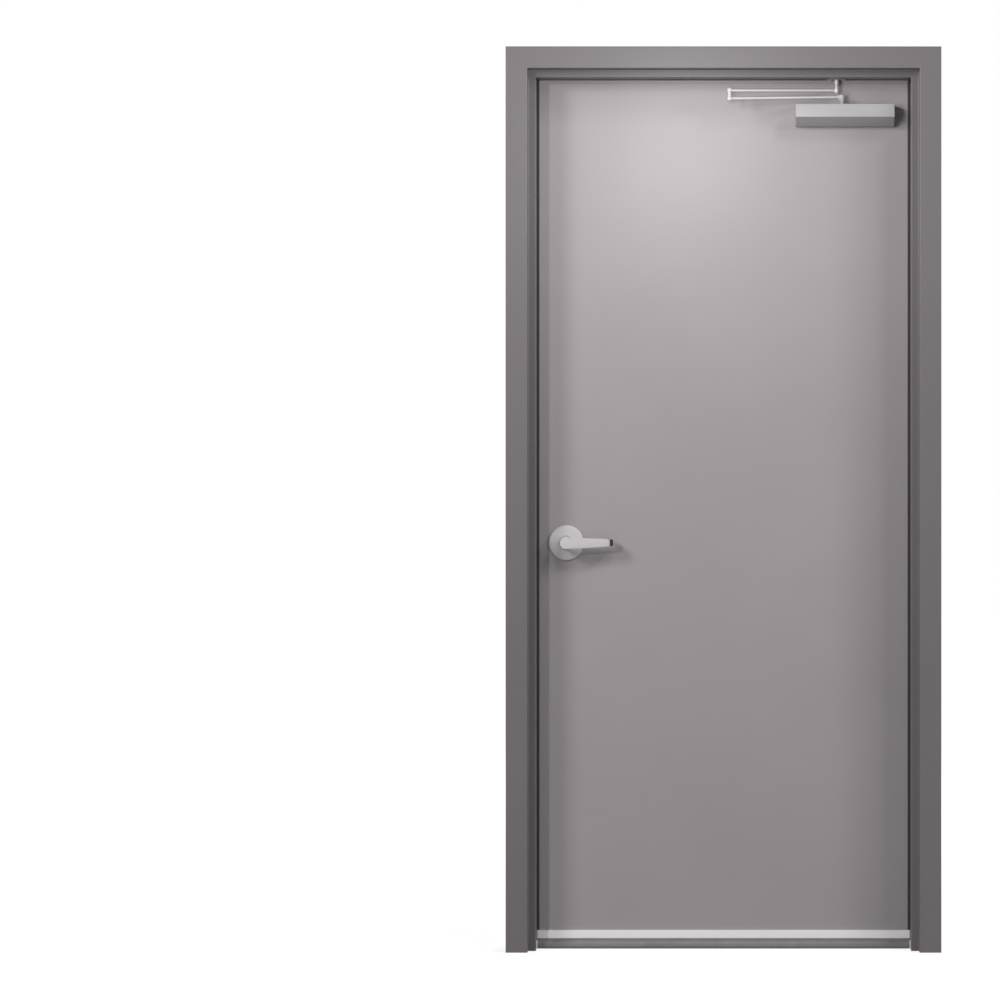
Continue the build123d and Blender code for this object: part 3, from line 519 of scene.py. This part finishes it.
class DoorFinishes(bpy.types.PropertyGroup):
    """Colours and gloss of the door's finishes."""

    frame_colour: colour_setting(
        "Frame paint", "Colour of the frame's satin paint", (0.166, 0.150, 0.157)
    )
    leaf_colour: colour_setting(
        "Leaf paint", "Colour of the leaf's satin paint", (0.355, 0.323, 0.333)
    )
    closer_colour: colour_setting(
        "Closer paint", "Colour of the closer's cover", (0.400, 0.385, 0.400)
    )
    arm_colour: colour_setting(
        "Arm paint", "Colour of the closer's two arms and its bracket's post",
        (0.640, 0.620, 0.634),
    )
    lever_colour: colour_setting(
        "Lever metal", "Colour of the satin levers and roses", (0.570, 0.545, 0.550)
    )
    strip_colour: colour_setting(
        "Sweep strip", "Colour of the aluminium strip at the leaf's foot",
        (0.900, 0.885, 0.900),
    )
    vinyl_colour: colour_setting(
        "Sweep vinyl", "Colour of the vinyl bulb under the strip", (0.25, 0.235, 0.24)
    )
    paint_roughness: bpy.props.FloatProperty(
        name="Paint roughness", description="Roughness of the frame's and the leaf's paint",
        subtype="FACTOR", min=0.1, max=1, default=0.40,
    )


class DoorSizes(bpy.types.PropertyGroup):
    """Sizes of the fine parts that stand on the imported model."""

    screw_radius: length_setting(
        "Hinge screw", "Radius of a hinge screw's head", 0.002, 0.008, 0.0047
    )
    small_screw_radius: length_setting(
        "Lock screw", "Radius of a strike or latch screw's head", 0.001, 0.006, 0.0036
    )
    lever_rim: length_setting(
        "Lever edge", "Radius of the soft edges round the grip's front", 0.0002, 0.004, 0.0011
    )
    lever_bevel: length_setting(
        "Lever end bevel", "Depth of the bevel at the grip's tip", 0.0005, 0.006, 0.003
    )


class DoorStage(bpy.types.PropertyGroup):
    """The lamps' power and the room's light."""

    key_power: power_setting("Key lamp", "Far lamp at the upper left", 155.0)
    left_power: power_setting("Left lamp", "Broad lamp at the left", 100.0)
    right_power: power_setting("Right lamp", "Broad lamp at the right", 125.0)
    high_power: power_setting("High lamp", "Broad lamp high up at the right", 130.0)
    top_power: power_setting("Top lamp", "Small lamp in front of the leaf's top", 4.3)
    back_power: power_setting("Back lamp", "Broad lamp behind the door", 260.0)
    world_level: bpy.props.FloatProperty(
        name="Room light", description="Level of the plain light from all round",
        min=0, max=2, default=0.06,
    )


# Frame and leaf

def seal_feet_shells():
    """The side seals' last bit, from their lower ends down to the sweep's strip."""
    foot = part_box("sweep_retainer")[1].z + SEAL_GAP
    overlap = 0.0005
    shells = []
    for node in ("hinge_side_seal", "strike_side_seal"):
        low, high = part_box(node)
        corners = [(low.x, low.y), (high.x, low.y), (high.x, high.y), (low.x, high.y)]
        outline = rounded(corners, 0.0008, 4)
        shells.append(shell(plate(outline, foot, low.z + overlap, 0.0003, 0.0, 3)))
    return shells


class DOOR_OT_frame_finish(bpy.types.Operator):
    """Paints the frame and gives its hidden steel and its seals their finishes"""

    bl_idname = "door.frame_finish"
    bl_label = "Finish the frame"

    def execute(self, context):
        dress("frame_paint", "hinge_jamb", "strike_jamb", "head")
        dress("plated_steel", "hinge_floor_anchor", "strike_floor_anchor", "jamb_hinge_plates")
        dress("plated_steel", "strike_box")
        dress("lever_metal", "strike_plate")
        dress("seal_rubber", "hinge_side_seal", "strike_side_seal", "head_seal")
        add_piece("seal_feet", seal_feet_shells(), "frame", finish("seal_rubber"))
        return {"FINISHED"}


class DOOR_OT_leaf_finish(bpy.types.Operator):
    """Paints the leaf and gives its inside and its lock their finishes"""

    bl_idname = "door.leaf_finish"
    bl_label = "Finish the leaf"

    def execute(self, context):
        dress("leaf_paint", "push_skin", "pull_skin")
        dress("core_board", "honeycomb_core")
        dress("plated_steel", "top_channel", "bottom_channel", "leaf_hinge_plates", "lock_case")
        dress("plated_steel", "closer_plate", "spindle")
        dress("lever_metal", "latch_face", "latch_bolt")
        return {"FINISHED"}


# Hinges

def knuckle_spans(low, high, first):
    """Every second one of five knuckles between two heights, from knuckle first."""
    pitch = (high - low) / 5
    slit = 0.0002
    return [(low + k * pitch + slit, low + (k + 1) * pitch - slit) for k in range(first, 5, 2)]


def hinge_half_shells(node, side, screw_radius):
    """A hinge leaf with round corners, tongues and bored knuckles, and its screw heads."""
    low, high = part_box(node)
    pin = np.array([(p + q) / 2 for p, q in zip(*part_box(node.split("_")[0] + "_hinge_pin"))])
    face = pin[0] + side * HINGE_BESIDE
    reach = pin[1] - HINGE_BEHIND
    corners = [(low.y, low.z), (reach, low.z), (reach, high.z), (low.y, high.z)]
    leaf = plate(rounded(corners, 0.0008), 0, HINGE_THICKNESS, 0.0003, 0.0003)
    shells = [shell(placed(leaf, (face, 0, 0), Y, Z, side * X))]
    root = reach - 0.002
    soft = 0.0005
    outer = KNUCKLE_RADIUS
    for z0, z1 in knuckle_spans(low.z, high.z, 0 if side > 0 else 1):
        corners = [(root, z0), (pin[1], z0), (pin[1], z1), (root, z1)]
        tongue = plate(rounded(corners, 0.0003), 0, HINGE_THICKNESS, 0.0002, 0.0002)
        shells.append(shell(placed(tongue, (face, 0, 0), Y, Z, side * X)))
        ring = [
            (KNUCKLE_BORE, z0), (outer - soft, z0), (outer, z0 + soft),
            (outer, z1 - soft), (outer - soft, z1), (KNUCKLE_BORE, z1),
        ]
        shells.append(shell(turned(ring, (pin[0], pin[1], 0), Z, 40), looped=True))
    middle = (low.z + high.z) / 2
    screws = []
    for k, (dy, dz) in enumerate(HINGE_SCREWS):
        place = (face, low.y + dy, middle + dz)
        screws.append(screw_shell(place, -side * X, screw_radius, 0.35 + 0.6 * k))
    return shells, screws


class DOOR_OT_hinges(bpy.types.Operator):
    """Builds the three butt hinges with bored knuckles, pins and countersunk screws"""

    bl_idname = "door.hinges"
    bl_label = "Build the hinges"

    def execute(self, context):
        steel = finish("hinge_steel")
        radius = context.scene.door_sizes.screw_radius
        for name in ("top", "middle", "bottom"):
            for side, body in ((1, "frame"), (-1, "leaf")):
                node = f"{name}_hinge_{body}_half"
                shells, screws = hinge_half_shells(node, side, radius)
                add_piece(f"{name}_hinge_{body}_side", shells, body, steel, [node])
                add_piece(f"{name}_hinge_{body}_screws", screws, body, steel)
            low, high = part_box(f"{name}_hinge_pin")
            x, y = (low.x + high.x) / 2, (low.y + high.y) / 2
            head = 0.0045
            pin = [
                (0.0012, low.z), (0.0046, low.z + 0.0005), (0.0068, low.z + 0.0018),
                (KNUCKLE_RADIUS, low.z + 0.0036), (KNUCKLE_RADIUS, low.z + head),
                (PIN_RADIUS, low.z + head), (PIN_RADIUS, high.z - head),
                (KNUCKLE_RADIUS, high.z - head), (KNUCKLE_RADIUS, high.z - 0.0034),
                (0.0072, high.z - 0.0018), (0.0055, high.z - 0.0006), (0.002, high.z),
            ]
            add_piece(
                f"{name}_hinge_round_pin", [shell(turned(pin, (x, y, 0), Z, 40))], "frame",
                steel, [f"{name}_hinge_pin"],
            )
        return {"FINISHED"}


# Levers

def grip_rings(side, rim, bevel):
    """The lever's grip, drawn from its front outline.

    The outline is the hub's half circle and two straight sides to the tip. It's carried from
    the back to the front: the rims are drawn in along a quarter circle, and the tip is drawn
    back evenly over the bevel's depth.
    """
    low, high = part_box("push_lever" if side < 0 else "pull_lever")
    tail_low, tail_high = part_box("push_lever_tail" if side < 0 else "pull_lever_tail")
    middle = SPINDLE[2] - HUB_DROP
    tip = high.x
    tip_middle = (tail_low.z + tail_high.z) / 2
    angle = np.linspace(np.pi / 2, 3 * np.pi / 2, 25)
    hub = np.array((SPINDLE[0], middle))
    arc = hub + HUB_RADIUS * np.stack([np.cos(angle), np.sin(angle)], axis=1)
    share = np.linspace(0, 1, 9)[1:-1, None]
    foot = np.array((SPINDLE[0], middle - HUB_RADIUS))
    head = np.array((SPINDLE[0], middle + HUB_RADIUS))
    corner = 0.0008
    low_tip = np.array((tip, tip_middle - TIP_HALF))
    high_tip = np.array((tip, tip_middle + TIP_HALF))
    end = rounded(
        [low_tip, high_tip, (tip - 0.01, tip_middle)], (corner, corner, 0.0001), 4
    )[:8]
    outline = np.concatenate(
        [arc, foot + (low_tip - foot) * share, end, high_tip + (head - high_tip) * share]
    )
    turn = np.linspace(0, np.pi / 2, 6)
    bevel_start = GRIP_DEPTH - bevel
    rim_start = GRIP_DEPTH - rim
    rise = np.concatenate([
        [0.0, 0.0004, bevel_start],
        np.linspace(bevel_start, rim_start, 4)[1:-1],
        rim_start + rim * np.sin(turn),
    ])
    inset = np.concatenate([[0.0005, 0.0, 0.0], [0.0, 0.0], rim * (1 - np.cos(turn))])
    cut = np.clip((rise - bevel_start) / bevel, 0, 1) * bevel
    flat = outline[None] - inset[:, None, None] * outward(outline)[None]
    blend = bevel + 0.002
    near_tip = np.clip((flat[:, :, 0] - (tip - blend)) / blend, 0, 1)
    flat[:, :, 0] -= near_tip * cut[:, None]
    rings = np.concatenate([flat, np.broadcast_to(rise[:, None, None], flat.shape[:2] + (1,))], 2)
    front = low.y if side < 0 else high.y
    return placed(rings, (0, front - side * GRIP_DEPTH, 0), X, Z, side * Y)


class DOOR_OT_levers(bpy.types.Operator):
    """Builds the two levers with their roses, necks and black end pieces"""

    bl_idname = "door.levers"
    bl_label = "Build the levers"

    def execute(self, context):
        sizes = context.scene.door_sizes
        metal = finish("lever_metal")
        for side, word in ((-1, "push"), (1, "pull")):
            face = PUSH_Y if side < 0 else PULL_Y
            axis = side * Y
            origin = (SPINDLE[0], face, SPINDLE[2])
            dish = [
                (0.01605, 0.0), (0.04135, 0.0), (0.04135, 0.0028), (0.0411, 0.0038),
                (0.0404, 0.0047), (0.0392, 0.0053), (0.034, 0.0064), (0.028, 0.0076),
                (0.0225, 0.0086), (0.0206, 0.0091), (0.0201, 0.0097), (0.0193, 0.0100),
                (0.0166, 0.0100), (0.01605, 0.0096),
            ]
            add_piece(
                f"{word}_dished_rose", [shell(turned(dish, origin, axis, 96), looped=True)],
                "leaf", metal, [f"{word}_rose"],
            )
            neck = [
                (0.0150, 0.0012), (0.01575, 0.0018), (0.01575, 0.0195), (0.0155, 0.0240),
                (0.0149, 0.0290), (0.0143, 0.0340), (0.0139, 0.0375), (0.0120, 0.0376),
            ]
            grip = grip_rings(side, sizes.lever_rim, sizes.lever_bevel)
            shells = [shell(turned(neck, origin, axis, 64)), shell(grip)]
            add_piece(
                f"{word}_lever_grip", shells, "lever", metal, [f"{word}_lever"], 24
            )
            low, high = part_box(f"{word}_lever_tail")
            corners = [(low.x, low.z), (high.x, low.z), (high.x, high.z), (low.x, high.z)]
            outline = rounded(corners, (0.0003, 0.0022, 0.0022, 0.0003), 6)
            rings = plate(outline, 0, high.y - low.y, 0.001, 0.001)
            add_piece(
                f"{word}_lever_end", [shell(placed(rings, (0, low.y, 0), X, Z, Y))], "lever",
                finish("lever_tail_black"), [f"{word}_lever_tail"],
            )
        return {"FINISHED"}


# Lock screws

class DOOR_OT_lock_screws(bpy.types.Operator):
    """Adds the screws of the strike and of the latch's face plate"""

    bl_idname = "door.lock_screws"
    bl_label = "Add the lock's screws"

    def execute(self, context):
        radius = context.scene.door_sizes.small_screw_radius
        metal = finish("lever_metal")
        low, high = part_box("strike_plate")
        middle = (low.z + high.z) / 2
        inset, apart = 0.0159, 0.051
        place = (high.x, low.y + inset)
        shells = [screw_shell((*place, middle + dz), X, radius) for dz in (-apart, apart)]
        add_piece("strike_screws", shells, "frame", metal)
        low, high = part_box("latch_face")
        place = (low.x, (low.y + high.y) / 2)
        apart = 0.0215
        shells = [screw_shell((*place, middle + dz), -X, radius, 0.4) for dz in (-apart, apart)]
        add_piece("latch_screws", shells, "leaf", metal)
        return {"FINISHED"}


# Sweep

class DOOR_OT_sweep(bpy.types.Operator):
    """Builds the aluminium strip and the vinyl bulb at the leaf's foot"""

    bl_idname = "door.sweep"
    bl_label = "Build the sweep"

    def execute(self, context):
        low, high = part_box("sweep_retainer")
        slot = (low.y + STRIP_WALL, low.y + STRIP_WALL + SLOT_WIDTH)
        corners = [
            (slot[1], low.z), (slot[1], low.z + SLOT_HEIGHT), (slot[0], low.z + SLOT_HEIGHT),
            (slot[0], low.z), (low.y, low.z), (low.y, high.z), (high.y, high.z), (high.y, low.z),
        ]
        radii = (0.0001, 0.0002, 0.0002, 0.0003, 0.0004, 0.0009, 0.0003, 0.0001)
        ends = (low.x - SWEEP_REACH, high.x + SWEEP_REACH)
        rings = plate(rounded(corners, radii, 5), *ends, 0.0, 0.0, 2)
        strip = shell(placed(rings, (0, 0, 0), Y, Z, X))
        add_piece(
            "sweep_strip", [strip], "leaf", finish("sweep_aluminium"),
            ["sweep_retainer"],
        )
        low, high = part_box("sweep_bulb")
        centre = np.array((PUSH_Y - BULB_OUT, low.z + BULB_RADIUS))
        front = PUSH_Y - STRIP_DEPTH + STRIP_WALL
        back = front + SLOT_WIDTH
        open_angle = math.acos((back - 0.0007 - centre[0]) / BULB_RADIUS)
        near_angle = math.acos(max(min((front - centre[0]) / BULB_RADIUS, 1), -1))
        angle = np.linspace(near_angle, open_angle + 2 * math.pi, 72)
        ring = centre + BULB_RADIUS * np.stack([np.cos(angle), np.sin(angle)], axis=1)
        tongue = np.array([
            (back, high.z - 0.0005), (back - 0.0006, high.z),
            (front + 0.0006, high.z), (front, high.z - 0.0005),
        ])
        rings = plate(np.concatenate([ring, tongue]), *ends, 0.0, 0.0, 2)
        bulb = shell(placed(rings, (0, 0, 0), Y, Z, X))
        add_piece(
            "sweep_vinyl_bulb", [bulb], "leaf", finish("sweep_vinyl"),
            ["sweep_bulb"], 40,
        )
        return {"FINISHED"}


# Closer

def elbow_profile(rod_height, end, waist):
    """Half of the elbow's barrel: a knob round the rod and a narrow waist at the parting."""
    sign = 1 if end > rod_height else -1
    shape = [
        (0.0042, waist - rod_height), (0.0043, -sign * 0.0048), (0.0052, -sign * 0.0040),
        (0.0061, -sign * 0.0026), (ELBOW_RADIUS, 0.0), (0.0061, sign * 0.0026),
        (0.0054, sign * 0.0040), (0.0042, sign * 0.0050), (0.0032, end - rod_height),
    ]
    return [(radius, rod_height + rise) for radius, rise in shape]


def shaft_place():
    """X and Y of the closer's shaft."""
    low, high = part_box("pinion")
    return (low.x + high.x) / 2, (low.y + high.y) / 2


def cover_shells():
    """The closer's cover with soft edges, and the raised ring round its shaft."""
    low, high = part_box("closer_body")
    top = high.z - COLLAR_RISE
    corners = [
        (high.y, low.z), (high.y, top), (low.y + COVER_LEAN, top),
        (low.y, low.z + RIDGE_RISE), (low.y + COVER_SLOPE, low.z),
    ]
    outline = rounded(corners, (0.0001, 0.0004, 0.0012, 0.0005, 0.0012), 6)
    sides = plate(outline, low.x, high.x, 0.0008, 0.0008, 4)
    ring = [
        (0.0052, top - 0.001), (0.009, top - 0.001), (0.009, high.z - 0.0003),
        (0.0087, high.z), (0.0052, high.z),
    ]
    return [
        shell(placed(sides, (0, 0, 0), Y, Z, X)),
        shell(turned(ring, (*shaft_place(), 0), Z, 40), looped=True),
    ]


def main_arm_shells():
    """The lower arm: a slanted hub, a round bar that falls a little, and half the elbow."""
    low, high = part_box("main_arm")
    x, y = shaft_place()
    elbow = (low.x + ELBOW_RADIUS, low.y + ELBOW_RADIUS)
    start, end = high.z - ROD_RADIUS, low.z + ELBOW_END
    hub_gap = 0.0056
    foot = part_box("closer_body")[1].z + hub_gap
    hub = [
        (0.0028, foot, 0.0), (0.0034, foot + 0.0004, -0.0001), (0.0060, foot + 0.0040, -0.0016),
        (0.0101, high.z - 0.0016, -0.0043), (0.0103, high.z - 0.0009, -0.0045),
        (0.0101, high.z - 0.0003, -0.0045), (0.0096, high.z, -0.0045), (0.0030, high.z, -0.0045),
    ]
    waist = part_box("forearm")[0].z - ELBOW_PARTING
    barrel = elbow_profile(end, low.z, waist)
    return [
        shell(slanted(hub, x, y)),
        shell(bar((x, y, start), (*elbow, end), ROD_RADIUS)),
        shell(turned(barrel, (*elbow, 0), Z, 40)),
        screw_shell((x, y, high.z), Z, ARM_SCREW_RADIUS, 0.3, 0.0016),
    ]


def forearm_shells():
    """The upper arm: a sleeve on the bracket's post, a round bar and the elbow's other half."""
    low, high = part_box("forearm")
    arm_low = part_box("main_arm")[0]
    post_low, post_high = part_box("closer_bracket")
    post = np.array([(a + b) / 2 for a, b in zip(post_low[:2], post_high[:2])])
    elbow = np.array((arm_low.x + ELBOW_RADIUS, arm_low.y + ELBOW_RADIUS))
    sleeve_half = 0.0038
    height = high.z - sleeve_half
    parting = low.z - ELBOW_PARTING / 2
    elbow_height = 2 * parting - (arm_low.z + ELBOW_END)
    sleeve = [
        (0.00265, height - 0.0046), (0.0042, height - 0.0046), (0.0048, height - 0.0040),
        (0.0048, height + 0.0032), (0.0043, high.z), (0.00265, high.z),
    ]
    run = (elbow - post) / np.linalg.norm(elbow - post)
    inside_sleeve = 0.0035
    start = post + run * inside_sleeve
    barrel = elbow_profile(elbow_height, elbow_height + ELBOW_END, low.z)
    return [
        shell(turned(sleeve, (*post, 0), Z, 40), looped=True),
        shell(bar((*start, height), (*elbow, elbow_height), ROD_RADIUS)),
        shell(turned(barrel, (*elbow, 0), Z, 40)),
    ]


def foot_shells():
    """The bracket's oblong foot, flat on the stop's soffit."""
    low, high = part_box("closer_bracket")
    x, y = (low.x + high.x) / 2, (low.y + high.y) / 2
    radius = (high.y - low.y) / 2
    straight = (high.x - low.x) / 2 - radius
    columns = 72
    angle = (np.arange(columns) + 0.5) * 2 * np.pi / columns
    along = np.sign(np.cos(angle)) * straight + radius * np.cos(angle)
    outline = np.stack([x + along, y + radius * np.sin(angle)], axis=1)
    return [shell(plate(outline, high.z - BRACKET_FOOT, high.z, 0.0008, 0.0, 4))]


def post_shells():
    """The bracket's stepped post, the keeper under the sleeve and the foot's two screws."""
    low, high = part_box("closer_bracket")
    x, y = (low.x + high.x) / 2, (low.y + high.y) / 2
    under = high.z - BRACKET_FOOT
    apart = 0.0155
    post = [
        (0.0022, low.z), (0.0030, low.z + 0.0001), (0.0037, low.z + 0.0009),
        (0.0037, low.z + 0.0018), (0.0026, low.z + 0.0018), (0.0026, under - 0.0125),
        (0.0034, under - 0.0115), (0.0048, under - 0.0090), (0.0048, under - 0.0008),
        (0.0055, under + 0.0002),
    ]
    return [
        shell(turned(post, (x, y, 0), Z, 40)),
        screw_shell((x - apart, y, under), -Z, ARM_SCREW_RADIUS, 0.2, 0.0006),
        screw_shell((x + apart, y, under), -Z, ARM_SCREW_RADIUS, 0.9, 0.0006),
    ]


class DOOR_OT_closer(bpy.types.Operator):
    """Builds the closer's cover, its two arms and its bracket"""

    bl_idname = "door.closer"
    bl_label = "Build the closer"

    def execute(self, context):
        paint = finish("arm_paint")
        add_piece(
            "closer_cover", cover_shells(), "leaf", finish("closer_paint"),
            ["closer_body"], 20,
        )
        arms = (
            ("main_arm_rod", main_arm_shells(), "closer_arm", "main_arm"),
            ("forearm_rod", forearm_shells(), "closer_forearm", "forearm"),
            ("closer_post", post_shells(), "frame", "closer_bracket"),
        )
        for name, shells, body, node in arms:
            add_piece(name, shells, body, paint, [node])
        # The foot takes the frame's darker paint instead of the arms' paint: painted shade,
        # standing for the shade its underside is in.
        add_piece(
            "closer_foot", foot_shells(), "frame", finish("frame_paint"),
            ["closer_bracket"],
        )
        dress("plated_steel", "pinion")
        return {"FINISHED"}


# Stage

class DOOR_OT_stage(bpy.types.Operator):
    """Adds the floor, the lamps, the room's light and the camera"""

    bl_idname = "door.stage"
    bl_label = "Set the stage"

    def execute(self, context):
        scene = context.scene
        stage = scene.door_stage
        self.floor()
        self.world(scene, stage)
        for name, (offset, target_height, size) in LAMPS.items():
            self.lamp(f"{name}_lamp", offset, target_height, getattr(stage, f"{name}_power"), size)
        data = bpy.data.cameras.new("photo_camera")
        data.sensor_width = 36.0
        data.lens = CAMERA_LENS
        data.shift_x, data.shift_y = CAMERA_SHIFT
        data.clip_end = 100.0
        camera = bpy.data.objects.new("photo_camera", data)
        camera.location = (DOOR_X, FACE_Y - CAMERA_DISTANCE, CAMERA_HEIGHT)
        camera.rotation_euler = (math.pi / 2, 0, 0)
        scene.collection.objects.link(camera)
        scene.camera = camera
        scene.view_settings.view_transform = "Standard"
        return {"FINISHED"}

    def lamp(self, name, offset, target_height, power, size):
        """A round lamp at offset (right of the middle, out from the leaf, height)."""
        data = bpy.data.lights.new(name, "AREA")
        data.shape = "DISK"
        data.size = size
        data.energy = power
        lamp = bpy.data.objects.new(name, data)
        place = np.array((DOOR_X + offset[0], PUSH_Y - offset[1], offset[2]))
        way = np.array((DOOR_X, PUSH_Y, target_height)) - place
        tilt = math.atan2(math.hypot(way[0], way[1]), -way[2])
        lamp.location = place
        lamp.rotation_euler = (tilt, 0, math.atan2(-way[0], way[1]))
        bpy.context.scene.collection.objects.link(lamp)

    def floor(self):
        """A floor that keeps the door's shadow, and looks white to the camera far from it."""
        mesh = bpy.data.meshes.new("studio_floor")
        size = FLOOR_SIZE
        mesh.from_pydata(
            [(-size, -size, 0), (size, -size, 0), (size, size, 0), (-size, size, 0)],
            [], [(0, 1, 2, 3)],
        )
        material, nodes, links, shader = blank_material("studio_floor")
        shader.inputs["Base Color"].default_value = (0.3, 0.3, 0.3, 1)
        shader.inputs["Roughness"].default_value = 0.9
        shader.inputs["Specular IOR Level"].default_value = 0.0
        glow = nodes.new("ShaderNodeEmission")
        glow.inputs["Color"].default_value = (1, 1, 1, 1)
        place = nodes.new("ShaderNodeTexCoord")
        away = nodes.new("ShaderNodeVectorMath")
        away.operation = "LENGTH"
        links.new(place.outputs["Object"], away.inputs[0])
        fade = nodes.new("ShaderNodeMapRange")
        fade.inputs["From Min"].default_value = FLOOR_NEAR
        fade.inputs["From Max"].default_value = FLOOR_FAR
        fade.inputs["To Min"].default_value = FLOOR_GLOW
        fade.inputs["To Max"].default_value = 1.0
        links.new(away.outputs["Value"], fade.inputs["Value"])
        links.new(fade.outputs["Result"], glow.inputs["Strength"])
        dark = nodes.new("ShaderNodeEmission")
        dark.inputs["Strength"].default_value = 0.0
        path = nodes.new("ShaderNodeLightPath")
        seen = nodes.new("ShaderNodeMath")
        seen.operation = "MAXIMUM"
        links.new(path.outputs["Is Camera Ray"], seen.inputs[0])
        links.new(path.outputs["Is Glossy Ray"], seen.inputs[1])
        choose = nodes.new("ShaderNodeMixShader")
        links.new(seen.outputs[0], choose.inputs[0])
        links.new(dark.outputs[0], choose.inputs[1])
        links.new(glow.outputs[0], choose.inputs[2])
        both = nodes.new("ShaderNodeAddShader")
        links.new(shader.outputs[0], both.inputs[0])
        links.new(choose.outputs[0], both.inputs[1])
        links.new(both.outputs[0], nodes["Material Output"].inputs["Surface"])
        mesh.materials.append(material)
        floor = bpy.data.objects.new("studio_floor", mesh)
        bpy.context.scene.collection.objects.link(floor)

    def world(self, scene, stage):
        """Plain light from all round that's white only where the camera sees it."""
        world = bpy.data.worlds.new("studio")
        scene.world = world
        world.use_nodes = True
        nodes, links = world.node_tree.nodes, world.node_tree.links
        plain = nodes["Background"]
        plain.inputs["Color"].default_value = (1, 1, 1, 1)
        plain.inputs["Strength"].default_value = stage.world_level
        white = nodes.new("ShaderNodeBackground")
        white.inputs["Color"].default_value = (1, 1, 1, 1)
        white.inputs["Strength"].default_value = 1.0
        path = nodes.new("ShaderNodeLightPath")
        choose = nodes.new("ShaderNodeMixShader")
        links.new(path.outputs["Is Camera Ray"], choose.inputs[0])
        links.new(plain.outputs[0], choose.inputs[1])
        links.new(white.outputs[0], choose.inputs[2])
        links.new(choose.outputs[0], nodes["World Output"].inputs["Surface"])


class DOOR_PT_panel(bpy.types.Panel):
    """Settings and steps of the steel door"""

    bl_idname = "DOOR_PT_panel"
    bl_label = "Steel door"
    bl_space_type = "VIEW_3D"
    bl_region_type = "UI"
    bl_category = "Steel door"

    def draw(self, context):
        scene = context.scene
        for group in (scene.door_finishes, scene.door_sizes, scene.door_stage):
            box = self.layout.box()
            for name in group.__annotations__:
                box.prop(group, name)
        for name in STEPS:
            self.layout.operator(name)


STEPS = (
    "door.frame_finish",
    "door.leaf_finish",
    "door.hinges",
    "door.levers",
    "door.lock_screws",
    "door.sweep",
    "door.closer",
    "door.stage",
)

CLASSES = (
    DoorFinishes,
    DoorSizes,
    DoorStage,
    DOOR_OT_frame_finish,
    DOOR_OT_leaf_finish,
    DOOR_OT_hinges,
    DOOR_OT_levers,
    DOOR_OT_lock_screws,
    DOOR_OT_sweep,
    DOOR_OT_closer,
    DOOR_OT_stage,
    DOOR_PT_panel,
)


def register():
    for cls in CLASSES:
        bpy.utils.register_class(cls)
    bpy.types.Scene.door_finishes = bpy.props.PointerProperty(type=DoorFinishes)
    bpy.types.Scene.door_sizes = bpy.props.PointerProperty(type=DoorSizes)
    bpy.types.Scene.door_stage = bpy.props.PointerProperty(type=DoorStage)


def unregister():
    del bpy.types.Scene.door_stage
    del bpy.types.Scene.door_sizes
    del bpy.types.Scene.door_finishes
    for cls in reversed(CLASSES):
        bpy.utils.unregister_class(cls)


def main():
    """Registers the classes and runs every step."""
    register()
    for step in STEPS:
        group, name = step.split(".")
        result = getattr(getattr(bpy.ops, group), name)()
        if result != {"FINISHED"}:
            raise RuntimeError(f"{step} didn't finish")


if __name__ == "__main__":
    main()
